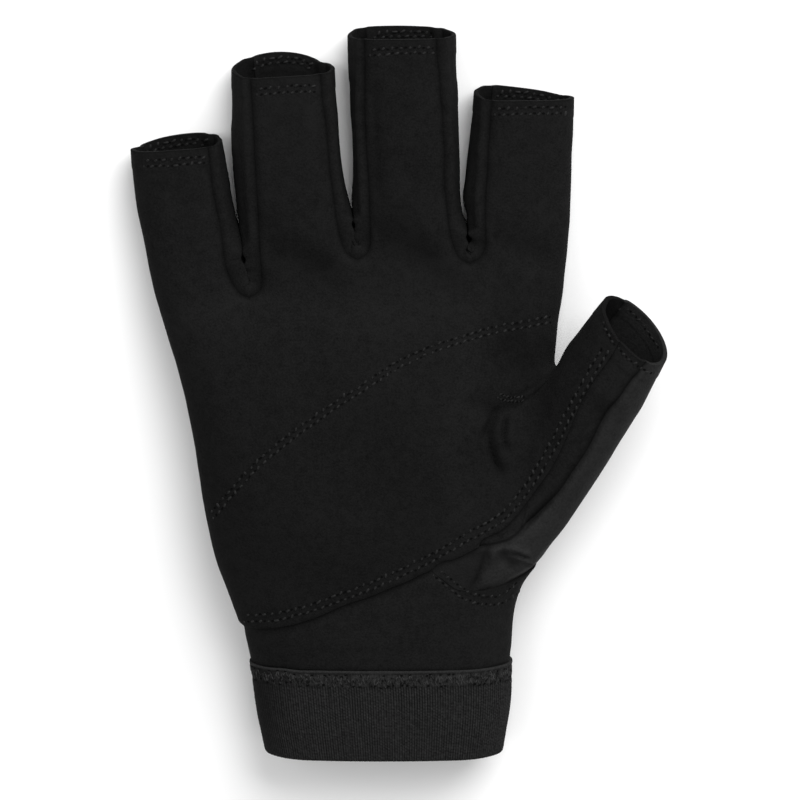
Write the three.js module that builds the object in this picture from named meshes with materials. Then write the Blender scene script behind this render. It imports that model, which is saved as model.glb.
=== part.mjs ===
// A short-finger watersports glove for the right hand, lying on its back with the palm up.
// Millimetres: +X towards the thumb, +Y towards the fingertips, +Z up out of the palm, floor at z = 0.
import * as THREE from "three";

// Driving dimensions
const WALL = 1.5; // suede or jersey with its backing
const CUFF_WALL = 1.9; // elastic webbing
const SEAM_GAP = 0.3; // left between the edges of two pieces
const CUFF_EDGE = -94.4; // the cuff's free edge
const CUFF_TOP = -69; // where the cuff is sewn on
const ROUND_SHARE = 0.57; // width of a rounded side, as a share of the depth there
const SIDE_ANGLES = [-35, -5, 25, 52]; // columns round a side, from the dorsal seam to the front
const BACK_ANGLE = -65; // first column of the back past a side's seam
const WEB_BULGE = 4.5; // how far the cloth between two fingers stands above its seams
const WEB_FADE = 6; // rows over which that bulge dies out up the finger
const CROTCH_DIP = 1.6; // how far the palm sinks at each crotch
const DIP_REACH = 7;
const LITTLE_ROOT = 27.5; // y of the line of the crotches at the little finger's outer side
const INDEX_ROOT = 35.5; // and at the index finger's
const CROTCH_CLOSE = 0.05; // share of a finger by which its first row is drawn towards the crotch

// How many cells each stretch of the pattern has
const SIDE = SIDE_ANGLES.length - 1; // round a side
const FINGER_COLUMNS = [4, 5, 5, 4]; // little, ring, middle, index
const ACROSS = 18; // between the two sides, the sum of the fingers' columns
const DEEP = 4; // across a fourchette, from palm to back
const FAN_ROWS = 10; // of the palm, that run on into the thumb
const TOP_ROWS = 6; // of the palm, above the thumb
const WRIST_ROWS = 4;
const THUMB_ROWS = 5; // of the thumb, past the web
const THUMB_ROUND = 11; // round the thumb from the palm's edge to the back of the web
const STRIP_COLUMNS = 2; // of those, in the side strip
const STRIP_START = 2; // the row where the side strip begins
const CUFF_ROWS = 4;
const FORK_COLUMN = SIDE + ACROSS - FAN_ROWS; // where the wrist panel leaves the palm's edge

// The hand's outline: silhouette on each side, depth, and how much the middle is crowned
const OUTLINE = [
  { y: CUFF_EDGE, left: -35.6, right: 26.8, top: 20.5, crown: 2.5 },
  { y: -81, left: -38, right: 28.9, top: 21.5, crown: 3 },
  { y: CUFF_TOP, left: -39.4, right: 29.2, top: 22, crown: 3 },
  { y: -60, left: -41.4, right: 29.6, top: 22.5, crown: 3 },
  { y: -51, left: -45.2, right: 30.8, top: 23, crown: 3 },
  { y: -43, left: -47.9, right: 35.2, top: 23.5, crown: 3 },
  { y: -29, left: -50.8, right: 38, top: 24, crown: 3 },
  { y: 1, left: -55.8, right: 39.7, top: 22.5, crown: 2.5 },
  { y: 19, left: -60.7, right: 40.8, top: 19, crown: 1.5 },
  { y: 31, left: -64.2, right: 42.3, top: 16.3, crown: 0.6 },
  { y: 41, left: -66.3, right: 43.3, top: 15, crown: 0 },
  { y: 55, left: -68.7, right: 44, top: 14.2, crown: 0 },
  { y: 81, left: -70.1, right: 44.6, top: 14, crown: 0 },
];

// Between two fingers: the seam and the wall of the finger on the left, then of the one on the right.
// The first row is the crotch, where all four meet.
const GAPS = [
  {
    name: "fourchette_little_ring",
    rows: [
      { y: 28.2, seamA: -39.1, wallA: -39.1, wallB: -39.1, seamB: -39.1 },
      { y: 31.4, seamA: -42.5, wallA: -40.3, wallB: -38.7, seamB: -36.2 },
      { y: 36, seamA: -44.4, wallA: -40.8, wallB: -39.5, seamB: -36.3 },
      { y: 41, seamA: -45.4, wallA: -41.4, wallB: -40.8, seamB: -36.5 },
      { y: 48, seamA: -46.4, wallA: -42.7, wallB: -42.1, seamB: -36.7 },
      { y: 58, seamA: -48, wallA: -44.4, wallB: -42.9, seamB: -37.2 },
      { y: 69, seamA: -49.3, wallA: -46.2, wallB: -43.5, seamB: -37.6 },
      { y: 88, seamA: -49.3, wallA: -46.2, wallB: -43.2, seamB: -38.6 },
    ],
  },
  {
    name: "fourchette_ring_middle",
    rows: [
      { y: 38.2, seamA: -11.1, wallA: -11.1, wallB: -11.1, seamB: -11.1 },
      { y: 41.3, seamA: -14.3, wallA: -12.3, wallB: -10.6, seamB: -8.5 },
      { y: 46, seamA: -15.8, wallA: -12.8, wallB: -11.6, seamB: -8.2 },
      { y: 52, seamA: -16.8, wallA: -13.4, wallB: -12.7, seamB: -8.2 },
      { y: 58, seamA: -17.2, wallA: -14.7, wallB: -12.3, seamB: -8.5 },
      { y: 70, seamA: -18.5, wallA: -16, wallB: -12.4, seamB: -9.3 },
      { y: 88, seamA: -20.2, wallA: -17, wallB: -13.4, seamB: -9.5 },
      { y: 97.4, seamA: -20.2, wallA: -17, wallB: -13.5, seamB: -9.5 },
    ],
  },
  {
    name: "fourchette_middle_index",
    rows: [
      { y: 37, seamA: 17.8, wallA: 17.8, wallB: 17.8, seamB: 17.8 },
      { y: 40.2, seamA: 14.5, wallA: 16.8, wallB: 18.5, seamB: 20.8 },
      { y: 45, seamA: 13, wallA: 16.4, wallB: 17.5, seamB: 21.5 },
      { y: 50.5, seamA: 12.4, wallA: 15.5, wallB: 16.2, seamB: 21.6 },
      { y: 58, seamA: 11.8, wallA: 15.1, wallB: 17, seamB: 21.7 },
      { y: 70, seamA: 11.4, wallA: 14.9, wallB: 18.1, seamB: 22.5 },
      { y: 81, seamA: 10.6, wallA: 14.7, wallB: 19, seamB: 23 },
      { y: 97.4, seamA: 9, wallA: 14.1, wallB: 19.2, seamB: 23 },
    ],
  },
];

// Each finger's rows of cells, and where its hem lies at the left and right of its front, at its left and
// right walls, and at the left, middle and right of its back
const FINGERS = [
  { name: "little", rows: 8, front: [66.2, 67.4], walls: [66.5, 68.5], back: [66.8, 68.9, 69.4] },
  { name: "ring", rows: 11, front: [85.2, 86.3], walls: [86.8, 87.2], back: [89.2, 90.4, 88] },
  { name: "middle", rows: 12, front: [95.2, 95.4], walls: [95.7, 95.9], back: [96.9, 97.2, 96.8] },
  { name: "index", rows: 9, front: [79.5, 79.6], walls: [81.1, 79.2], back: [81.9, 81, 79.4] },
];

// Lines of the pattern, seen from above: the palm's stitched lower edge, the line from the outer side over
// the palm to the web of the thumb, and the top of the wrist panel round the base of the thumb
const PALM_EDGE = [
  { x: -36.5, y: -58.8 },
  { x: -26, y: -56 },
  { x: -13, y: -50.6 },
  { x: -3.3, y: -46.9 },
  { x: 7.7, y: -41.6 },
  { x: 18.3, y: -35.9 },
  { x: 27.4, y: -30 },
  { x: 34.3, y: -22 },
  { x: 41.9, y: -8 },
];
const FORK = 4; // the row of PALM_EDGE where the wrist panel leaves it
const WEB_LINE = [
  { x: -51, y: 2 },
  { x: -20, y: 3 },
  { x: 10, y: 4 },
  { x: 29, y: 4.8 },
  { x: 34, y: 6.2 },
];
const BASE_ARC = [
  { share: 0, y: -41.6 },
  { share: 0.22, y: -46.6 },
  { share: 0.42, y: -47.6 },
  { share: 0.62, y: -45.6 },
  { share: 0.8, y: -42.6 },
  { share: 1, y: -41 },
];
const DORSAL_SEAM = [
  { x: 37.2, y: -25, z: 4.4 },
  { x: 39.6, y: -8, z: 4.8 },
]; // between the back and the thumb back, on its way to the web

// The web of the thumb, where the palm's side turns and runs up the thumb
const WEB_FRONT = new THREE.Vector3(38, 8.4, 18.6);
const WEB_BACK = new THREE.Vector3(41.6, 7.4, 6.6);
const THUMB_SIDE = 2; // of the back, past the dorsal seam beside the thumb
const THUMB_WEB_BULGE = 2.4;

// The thumb: the middle of its opening, its turn from +Y towards +X, its rise and its roll
const THUMB = { x: 60.1, y: 21.6, z: 22.4, turn: 31, rise: 12, roll: 20 };
const THUMB_SLANT = { by: -3.1, angle: 42 }; // its opening is cut back by this much, most at this angle round it
const THUMB_WEB = -20.4; // how far the web is from the opening
const THUMB_EDGE = -2.8; // where the palm's edge lies across the thumb
const STRIP_WIDTHS = [
  { row: 0, width: 0.9 },
  { row: STRIP_START, width: 1.3 },
  { row: 4, width: 3.6 },
  { row: 7, width: 5.6 },
  { row: FAN_ROWS, width: 7 },
];
const THUMB_STRIP = [
  { s: -24, across: 4.2 },
  { s: 0, across: 6 },
]; // where the strip's other seam lies across the thumb
const BASE_BULGE = 2.7; // how far the loose cloth at the thumb's base stands out
const BASE_FLARE = 44; // the way the thumb's base leaves the wrist, from +Y towards +X
const THUMB_FRONT_ANGLE = 152; // round the thumb, from its right
const THUMB_BACK_ANGLE = 220;
const THUMB_SECTIONS = [
  { s: -70, wide: 14, deep: 9.8 },
  { s: -45, wide: 13.4, deep: 9.6 },
  { s: -22, wide: 12.8, deep: 9 },
  { s: -8, wide: 11.8, deep: 8.5 },
  { s: 0, wide: 11, deep: 8.2 },
];
const BLEND = 5; // how softly the thumb runs into the palm
const CREST_SHARE = 0.94; // half width of the thumb that counts as its front
const CREST_FALL = 1.5; // slope beyond it
const THUMB_REACH = 5; // columns before the web that turn from the palm's shape to the thumb's
const THUMB_CELL = 5.6;

const rad = THREE.MathUtils.degToRad;
const mix = THREE.MathUtils.lerp;

// A smooth line through a table: the value of column `to` at a value of column `from`, held past the ends
function through(rows, from, to) {
  const slopes = rows.map((row, i) => {
    const before = rows[Math.max(i - 1, 0)];
    const after = rows[Math.min(i + 1, rows.length - 1)];
    return (after[to] - before[to]) / (after[from] - before[from]);
  });
  return (value) => {
    let i = 0;
    while (i < rows.length - 2 && value > rows[i + 1][from]) i++;
    const step = rows[i + 1][from] - rows[i][from];
    const t = THREE.MathUtils.clamp((value - rows[i][from]) / step, 0, 1);
    return (
      (1 + 2 * t) * (1 - t) ** 2 * rows[i][to] +
      t * (1 - t) ** 2 * step * slopes[i] +
      t * t * (3 - 2 * t) * rows[i + 1][to] +
      t * t * (t - 1) * step * slopes[i + 1]
    );
  };
}

const outline = {};
for (const column of ["left", "right", "top", "crown"]) {
  outline[column] = through(OUTLINE, "y", column);
}
const gaps = GAPS.map((gap) => ({
  ...gap,
  seamA: through(gap.rows, "y", "seamA"),
  wallA: through(gap.rows, "y", "wallA"),
  wallB: through(gap.rows, "y", "wallB"),
  seamB: through(gap.rows, "y", "seamB"),
  crotch: gap.rows[0],
}));
const thumbWide = through(THUMB_SECTIONS, "s", "wide");
const thumbDeep = through(THUMB_SECTIONS, "s", "deep");

// Height of a rounded side, from 0 at the silhouette to 1, at a distance inside it
function cap(distance, round) {
  const t = THREE.MathUtils.clamp(1 - distance / round, 0, 1);
  return Math.sqrt(1 - t * t);
}

const roundAt = (y) => ROUND_SHARE * outline.top(y);

// Front and back of the hand, as heights over a point, between two silhouettes
function frontHeight(x, y, left, right) {
  const middle = outline.top(y) / 2;
  const sides = cap(x - left, roundAt(y)) * cap(right - x, roundAt(y));
  const s = (2 * x - left - right) / (right - left);
  const crown = outline.crown(y);
  return middle + (middle - crown) * sides + crown * Math.max(0, 1 - s * s) * sides;
}

function backHeight(x, y, left, right) {
  const middle = outline.top(y) / 2;
  return middle * (1 - cap(x - left, roundAt(y)) * cap(right - x, roundAt(y)));
}

function handFront(x, y) {
  let z = frontHeight(x, y, outline.left(y), outline.right(y));
  for (const { crotch } of gaps) {
    const away = Math.hypot(x - crotch.seamA, y - crotch.y) / DIP_REACH;
    z -= CROTCH_DIP * Math.exp(-away * away);
  }
  return z;
}

// A point round the hand's left (-1) or right (+1) side, at an angle above its widest line
function sidePoint(y, angle, side) {
  const edge = side < 0 ? outline.left(y) : outline.right(y);
  const x = edge - side * roundAt(y) * (1 - Math.cos(rad(angle)));
  const middle = outline.top(y) / 2;
  const z = angle > 0 ? handFront(x, y) : middle * (1 + Math.sin(rad(angle)));
  return new THREE.Vector3(x, y, z);
}

// The thumb's frame: along its axis, across it and out of its front, then the last two rolled
const turn = rad(THUMB.turn);
const rise = rad(THUMB.rise);
const roll = rad(THUMB.roll);
const thumbTip = new THREE.Vector3(THUMB.x, THUMB.y, THUMB.z);
const along = new THREE.Vector3(
  Math.sin(turn) * Math.cos(rise),
  Math.cos(turn) * Math.cos(rise),
  Math.sin(rise),
);
const level = new THREE.Vector3(Math.cos(turn), -Math.sin(turn), 0);
const upward = new THREE.Vector3().crossVectors(level, along);
const wideAxis = level.clone().multiplyScalar(Math.cos(roll)).addScaledVector(upward, Math.sin(roll));
const deepAxis = upward.clone().multiplyScalar(Math.cos(roll)).addScaledVector(level, -Math.sin(roll));

function thumbPoint(s, angle) {
  const cut = THUMB_SLANT.by * Math.cos(rad(angle - THUMB_SLANT.angle)) * Math.max(0, 1 - s / THUMB_WEB);
  return thumbTip
    .clone()
    .addScaledVector(along, s + cut)
    .addScaledVector(wideAxis, thumbWide(s) * Math.cos(rad(angle)))
    .addScaledVector(deepAxis, thumbDeep(s) * Math.sin(rad(angle)));
}

// Height of the thumb's section above its axis at a distance across it, and the angle there
function thumbCrest(s, across) {
  const [wide, deep] = [thumbWide(s), thumbDeep(s)];
  const [c, n] = [Math.cos(roll), Math.sin(roll)];
  const a = (n / wide) ** 2 + (c / deep) ** 2;
  const b = across * c * n * (wide ** -2 - deep ** -2);
  const rest = across ** 2 * ((c / wide) ** 2 + (n / deep) ** 2) - 1;
  const height = (-b + Math.sqrt(Math.max(0, b * b - a * rest))) / a;
  const angle = Math.atan2((height * c - across * n) / deep, (across * c + height * n) / wide);
  return { height, angle: THREE.MathUtils.radToDeg(angle) };
}

function thumbFront(x, y) {
  const across = (x - THUMB.x) * Math.cos(turn) - (y - THUMB.y) * Math.sin(turn);
  const s = (x - THUMB.x) * Math.sin(turn) + (y - THUMB.y) * Math.cos(turn);
  const reach = CREST_SHARE * thumbWide(s);
  const inside = THREE.MathUtils.clamp(across, -reach, reach);
  const crest = thumbCrest(s, inside).height / Math.cos(rise);
  return THUMB.z + s * Math.tan(rise) + crest - CREST_FALL * Math.abs(across - inside);
}

// The front of hand and thumb together, as one soft surface
function front(x, y) {
  const [hand, thumb] = [handFront(x, y), thumbFront(x, y)];
  const share = THREE.MathUtils.clamp(0.5 + (thumb - hand) / (2 * BLEND), 0, 1);
  return mix(hand, thumb, share) + BLEND * share * (1 - share) * 0.5;
}

// All vertices of the glove's outer surface, and a face list for each piece
const points = [];
const faces = {};

function vertex(x, y, z) {
  points.push(new THREE.Vector3(x, y, z));
  return points.length - 1;
}
const vertexAt = (p) => vertex(p.x, p.y, p.z);

// Cells of a grid of vertices, wound so that its face looks out, to the piece that `pieceOf` names
function sew(grid, pieceOf, turned = false) {
  for (let i = 0; i + 1 < grid.length; i++) {
    for (let j = 0; j + 1 < grid[i].length; j++) {
      const cell = [grid[i][j], grid[i][j + 1], grid[i + 1][j + 1], grid[i + 1][j]];
      if (turned) cell.reverse();
      const piece = typeof pieceOf === "string" ? pieceOf : pieceOf(i, j);
      (faces[piece] ??= []).push(cell);
    }
  }
}

// Evenly spaced points on a smooth line through plan points
function spaced(rows, count) {
  const line = new THREE.CatmullRomCurve3(
    rows.map(({ x, y, z = 0 }) => new THREE.Vector3(x, y, z)),
    false,
    "centripetal",
  );
  return line.getSpacedPoints(count);
}

// Where the palm's rows meet the thumb's first ring
const webRing = thumbCrest(THUMB_WEB, THUMB_EDGE);
const edgeEnd = thumbPoint(THUMB_WEB, webRing.angle);

// The palm's lower edge, its web line and its crotch line, one vertex for each column
function shoulder(y, side) {
  return sidePoint(y, SIDE_ANGLES[SIDE], side);
}
const plan = ({ x, y }) => ({ x, y });
const palmEdge = [
  ...spaced(PALM_EDGE.slice(0, FORK + 1), FORK_COLUMN - SIDE).slice(0, -1),
  ...spaced([...PALM_EDGE.slice(FORK), edgeEnd].map(plan), FAN_ROWS),
];
const webLine = spaced([...WEB_LINE, plan(WEB_FRONT)], ACROSS);
const columnsTo = (finger) => FINGER_COLUMNS.slice(0, finger).reduce((sum, n) => sum + n, 0);
const crotchKnots = [
  { column: 0, ...plan(shoulder(LITTLE_ROOT, -1)) },
  ...gaps.map(({ crotch }, i) => ({ column: columnsTo(i + 1), x: crotch.seamA, y: crotch.y })),
  { column: ACROSS, ...plan(shoulder(INDEX_ROOT, 1)) },
];
const crotchX = through(crotchKnots, "column", "x");
const crotchY = through(crotchKnots, "column", "y");

// Palm: rows from its edge to the crotches, columns from the dorsal seam on the outer side to the front of
// the other side
const palm = [];
for (let row = 0; row <= FAN_ROWS + TOP_ROWS; row++) {
  const line = [];
  for (let column = 0; column <= ACROSS; column++) {
    let x, y;
    if (row <= FAN_ROWS) {
      const share = row / FAN_ROWS;
      x = mix(palmEdge[column].x, webLine[column].x, share);
      y = mix(palmEdge[column].y, webLine[column].y, share);
    } else {
      const share = (row - FAN_ROWS) / TOP_ROWS;
      x = mix(webLine[column].x, crotchX(column), share);
      y = mix(webLine[column].y, crotchY(column), share);
    }
    if (column === 0) x = shoulder(y, -1).x;
    if (column === ACROSS && row > FAN_ROWS) x = shoulder(y, 1).x;
    if (column === ACROSS && row <= FAN_ROWS) {
      const angle = mix(webRing.angle, THUMB_FRONT_ANGLE, row / FAN_ROWS);
      const ring = row === FAN_ROWS ? WEB_FRONT : thumbPoint(THUMB_WEB, angle);
      line.push(vertexAt(ring));
      continue;
    }
    const p = new THREE.Vector3(x, y, front(x, y));
    const near = (column - ACROSS + THUMB_REACH) / THUMB_REACH;
    if (near > 0 && row < FAN_ROWS) {
      const s = THUMB_WEB - (ACROSS - column) * THUMB_CELL;
      const angle = mix(thumbCrest(s, THUMB_EDGE).angle, THUMB_FRONT_ANGLE, row / FAN_ROWS);
      p.lerp(thumbPoint(s, angle), near * Math.min(1, row / 2));
    }
    line.push(vertexAt(p));
  }
  const side = points[line[0]];
  const wrap = SIDE_ANGLES.slice(0, SIDE).map((angle) => vertexAt(sidePoint(side.y, angle, -1)));
  palm.push([...wrap, ...line]);
}
sew(palm, "palm_panel");
const webRow = palm[FAN_ROWS];
const crotchRow = palm[FAN_ROWS + TOP_ROWS];

// The angle of a column of the side strip and thumb back, round the thumb from the palm's edge
const stripEdge = through(THUMB_STRIP, "s", "across");
function sheathAngle(s, column) {
  const strip = thumbCrest(s, stripEdge(s)).angle;
  if (column <= STRIP_COLUMNS) return mix(thumbCrest(s, THUMB_EDGE).angle, strip, column / STRIP_COLUMNS);
  return mix(strip, THUMB_BACK_ANGLE - 360, (column - STRIP_COLUMNS) / (THUMB_ROUND - STRIP_COLUMNS));
}

// Thumb past the web: rings from the web to the opening
const frontRings = [palm.slice(0, FAN_ROWS + 1).map((row) => row[SIDE + ACROSS])];
const sideRings = [];
const backRings = [];
for (let ring = 1; ring <= THUMB_ROWS; ring++) {
  const s = mix(THUMB_WEB, 0, ring / THUMB_ROWS);
  const edge = thumbCrest(s, THUMB_EDGE).angle;
  const angles = [];
  for (let k = 0; k <= FAN_ROWS; k++) angles.push(mix(edge, THUMB_FRONT_ANGLE, k / FAN_ROWS));
  const frontRing = angles.map((angle) => vertexAt(thumbPoint(s, angle)));
  const side = [frontRing[FAN_ROWS]];
  for (let k = 1; k <= SIDE; k++) {
    side.push(vertexAt(thumbPoint(s, mix(THUMB_FRONT_ANGLE, THUMB_BACK_ANGLE, k / SIDE))));
  }
  const back = [frontRing[0]];
  for (let k = 1; k < THUMB_ROUND; k++) back.push(vertexAt(thumbPoint(s, sheathAngle(s, k))));
  back.push(side[SIDE]);
  frontRings.push(frontRing);
  sideRings.push(side);
  backRings.push(back);
}
sew(frontRings, "palm_panel", true);

// The palm's side past the web: down the index finger's side, round the web and up the thumb
const webSide = [webRow[SIDE + ACROSS]];
const webOut = new THREE.Vector3().addVectors(along, new THREE.Vector3(0, 1, 0)).normalize();
for (let k = 1; k < SIDE; k++) {
  const p = WEB_FRONT.clone().lerp(WEB_BACK, k / SIDE);
  webSide.push(vertexAt(p.addScaledVector(webOut, THUMB_WEB_BULGE * Math.sin((Math.PI * k) / SIDE))));
}
webSide.push(vertexAt(WEB_BACK));
const rightSide = [webSide];
for (let row = FAN_ROWS + 1; row <= FAN_ROWS + TOP_ROWS; row++) {
  const first = palm[row][SIDE + ACROSS];
  const y = points[first].y;
  const rest = SIDE_ANGLES.slice(0, SIDE).reverse();
  rightSide.push([first, ...rest.map((angle) => vertexAt(sidePoint(y, angle, 1)))]);
}
sew([...sideRings].reverse().concat([webSide]), "palm_panel");

// Fingers: front and back between their seams, with the outer sides of the little and index fingers
const leftSide = palm.map((row) => row.slice(0, SIDE + 1));
const backCrotch = [];
for (let column = 0; column <= ACROSS; column++) {
  const { x, y } = points[crotchRow[SIDE + column]];
  const gap = gaps.find(({ crotch }) => crotch.seamA === x);
  backCrotch.push(vertex(x, y, gap ? CROTCH_DIP : backHeight(x, y, outline.left(y), outline.right(y))));
}
const fingerBacks = [];
// The first row of cells stands close to the crotch, where the seams turn
const fingerShare = (t) => t - CROTCH_CLOSE * (1 - t) ** 4;
let firstColumn = 0;
const legs = []; // [finger][0 left, 1 right]: rows across a fourchette
FINGERS.forEach((finger, number) => {
  const before = gaps[number - 1];
  const after = gaps[number];
  const columns = FINGER_COLUMNS[number];
  const fronts = [crotchRow.slice(SIDE + firstColumn, SIDE + firstColumn + columns + 1)];
  const backs = [backCrotch.slice(firstColumn, firstColumn + columns + 1)];
  const sides = [[], []];
  const base = fronts[0].map((id) => points[id].y);
  for (let row = 1; row <= finger.rows; row++) {
    const share = fingerShare(row / finger.rows);
    const frontLine = [];
    const backLine = [];
    for (let column = 0; column <= columns; column++) {
      const at = column / columns;
      const y = mix(base[column], mix(...finger.front, at), share);
      const left = before ? before.wallB(y) : outline.left(y);
      const right = after ? after.wallA(y) : outline.right(y);
      const first = before ? before.seamB(y) : shoulder(y, -1).x;
      const last = after ? after.seamA(y) : shoulder(y, 1).x;
      const x = mix(first, last, at);
      const [atLeft, atMiddle, atRight] = finger.back;
      const end = (1 - at) * (1 - 2 * at) * atLeft + 4 * at * (1 - at) * atMiddle + at * (2 * at - 1) * atRight;
      const hem = mix(base[column], end, share);
      frontLine.push(vertex(x, y, frontHeight(x, y, left, right)));
      backLine.push(vertex(x, hem, backHeight(x, hem, left, right)));
    }
    fronts.push(frontLine);
    backs.push(backLine);
  }
  // The outer side of a little or index finger, from its front line to the dorsal seam
  const outer = (rows, side) =>
    rows.slice(1).map((line) => {
      const id = side < 0 ? line[0] : line[columns];
      const angles = SIDE_ANGLES.slice(0, SIDE).reverse();
      return [id, ...angles.map((angle) => vertexAt(sidePoint(points[id].y, angle, side)))];
    });
  if (!before) leftSide.push(...outer(fronts, -1).map((line) => line.reverse()));
  if (!after) rightSide.push(...outer(fronts, 1));
  // One wall of the finger, from its front seam to its back seam
  const wall = (gap, side) => {
    const end = finger.walls[side < 0 ? 0 : 1];
    const rows = [];
    for (let row = 1; row <= finger.rows; row++) {
      const frontId = side < 0 ? fronts[row][0] : fronts[row][columns];
      const backId = side < 0 ? backs[row][0] : backs[row][columns];
      const { x, y } = points[frontId];
      const middle = mix(points[side < 0 ? fronts[0][0] : fronts[0][columns]].y, end, fingerShare(row / finger.rows));
      const edge = side < 0 ? gap.wallB(y) : gap.wallA(y);
      const round = roundAt(y);
      const start = Math.acos(1 - Math.abs(x - edge) / round);
      const lift = WEB_BULGE * Math.max(0, 1 - row / WEB_FADE) ** 1.5;
      const line = [frontId];
      for (let k = 1; k < DEEP; k++) {
        const angle = start * (1 - (2 * k) / DEEP);
        line.push(
          vertex(
            edge - side * round * (1 - Math.cos(angle)),
            (k < DEEP / 2 ? mix(y, middle, (2 * k) / DEEP) : mix(middle, points[backId].y, (2 * k) / DEEP - 1)) +
              lift * Math.sin((Math.PI * k) / DEEP),
            (outline.top(y) / 2) * (1 + Math.sin(angle)),
          ),
        );
      }
      rows.push([...line, backId]);
    }
    return rows;
  };
  if (before) sides[0] = wall(before, -1);
  if (after) sides[1] = wall(after, 1);
  legs.push(sides);
  sew(fronts, "palm_panel");
  fingerBacks.push(backs);
  firstColumn += columns;
});
sew(rightSide, "palm_panel");
sew(leftSide.slice(palm.length - 1), "palm_panel");

// Fourchettes: down one finger's wall, through the crotch and up the next finger's
gaps.forEach((gap, number) => {
  const column = columnsTo(number + 1);
  const crotch = [crotchRow[SIDE + column]];
  const high = points[crotch[0]];
  const low = points[backCrotch[column]];
  for (let k = 1; k < DEEP; k++) {
    const turned = (Math.PI * k) / DEEP;
    const z = mix(high.z, low.z, (1 - Math.cos(turned)) / 2);
    crotch.push(vertex(high.x, high.y + WEB_BULGE * Math.sin(turned), z));
  }
  crotch.push(backCrotch[column]);
  sew([...[...legs[number][1]].reverse(), crotch, ...legs[number + 1][0]], gap.name, true);
});

// Wrist panel: from the cuff to the palm's edge, and past the fork to the arc round the thumb's base
const wristColumns = FORK_COLUMN + THUMB_ROUND;
const angleRows = SIDE_ANGLES.map((angle, i) => ({ i, angle }));
const angleAt = through(angleRows, "i", "angle");
function handPoint(column, y) {
  const last = wristColumns - SIDE;
  if (column < SIDE) return sidePoint(y, angleAt(column), -1);
  if (column > last) return sidePoint(y, angleAt(wristColumns - column), 1);
  const x = mix(shoulder(y, -1).x, shoulder(y, 1).x, (column - SIDE) / (last - SIDE));
  return new THREE.Vector3(x, y, handFront(x, y));
}
function columnAt({ x, y }) {
  const [left, right] = [shoulder(y, -1).x, shoulder(y, 1).x];
  return SIDE + ((x - left) / (right - left)) * (wristColumns - 2 * SIDE);
}
const forkColumn = columnAt(points[palm[0][FORK_COLUMN]]);
const arcY = through(BASE_ARC, "share", "y");
const thumbBase = [palm[0][FORK_COLUMN]];
for (let k = 1; k <= THUMB_ROUND; k++) {
  const share = k / THUMB_ROUND;
  thumbBase.push(vertexAt(handPoint(mix(forkColumn, wristColumns, share), arcY(share))));
}
const wristTop = [...palm[0].slice(0, FORK_COLUMN), ...thumbBase];
const wrist = [];
for (let row = 0; row < WRIST_ROWS; row++) {
  const line = [];
  for (let column = 0; column <= wristColumns; column++) {
    const goal = points[wristTop[column]];
    const onSide = column < SIDE || column > wristColumns - SIDE;
    const there = onSide ? column : columnAt(goal);
    const share = row / WRIST_ROWS;
    line.push(vertexAt(handPoint(mix(column, there, share), mix(CUFF_TOP, goal.y, share))));
  }
  wrist.push(line);
}
wrist.push(wristTop);
sew(wrist, "wrist_panel");

// Thumb back and side strip, from the arc at its base to the first ring past the web
const dorsal = spaced([points[thumbBase[THUMB_ROUND]], ...DORSAL_SEAM, WEB_BACK], FAN_ROWS);
const sheath = [thumbBase];
const stripWidth = through(STRIP_WIDTHS, "row", "width");
const webTarget = [];
for (let k = 0; k <= THUMB_ROUND; k++) webTarget.push(thumbPoint(THUMB_WEB, sheathAngle(THUMB_WEB, k)));
const flare = rad(BASE_FLARE);
function bridge(from, to, t, across) {
  const reach = from.distanceTo(to);
  const start = new THREE.Vector3(Math.sin(flare), Math.cos(flare), 0).multiplyScalar(reach);
  const end = along.clone().multiplyScalar(reach);
  const loose = BASE_BULGE * (27 / 4) * t * (1 - t) ** 2 * Math.sin(Math.PI * across) ** 2;
  return new THREE.Vector3()
    .addScaledVector(from, (1 + 2 * t) * (1 - t) ** 2)
    .addScaledVector(start, t * (1 - t) ** 2)
    .addScaledVector(to, t * t * (3 - 2 * t))
    .addScaledVector(end, t * t * (t - 1))
    .addScaledVector(level, loose);
}
for (let row = 1; row <= FAN_ROWS; row++) {
  const share = row / FAN_ROWS;
  const firstId = palm[0][FORK_COLUMN + row];
  const raw = webTarget.map((to, k) => bridge(points[thumbBase[k]], to, share, k / THUMB_ROUND));
  const lastGoal = row === FAN_ROWS ? WEB_BACK : dorsal[row];
  const firstShift = points[firstId].clone().sub(raw[0]);
  const lastShift = lastGoal.clone().sub(raw[THUMB_ROUND]);
  const line = [firstId];
  for (let k = 1; k < THUMB_ROUND; k++) {
    const across = k / THUMB_ROUND;
    line.push(
      vertexAt(
        raw[k]
          .clone()
          .addScaledVector(firstShift, (1 - across) ** 3)
          .addScaledVector(lastShift, across ** 3),
      ),
    );
  }
  line.push(row === FAN_ROWS ? webSide[SIDE] : vertexAt(lastGoal));
  // The side strip widens from its point beside the palm's edge
  const width = stripWidth(row);
  const beside = points[line[STRIP_COLUMNS + 1]];
  const cell = width / beside.distanceTo(points[firstId]) / STRIP_COLUMNS;
  for (let k = 1; k <= STRIP_COLUMNS; k++) {
    points[line[k]].lerpVectors(points[firstId], beside, cell * k);
  }
  sheath.push(line);
}
sheath.push(...backRings);
const stripCell = (row, column) => row >= STRIP_START && column < STRIP_COLUMNS;
sew(sheath, (row, column) => (stripCell(row, column) ? "thumb_strip" : "thumb_back"));

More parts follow.
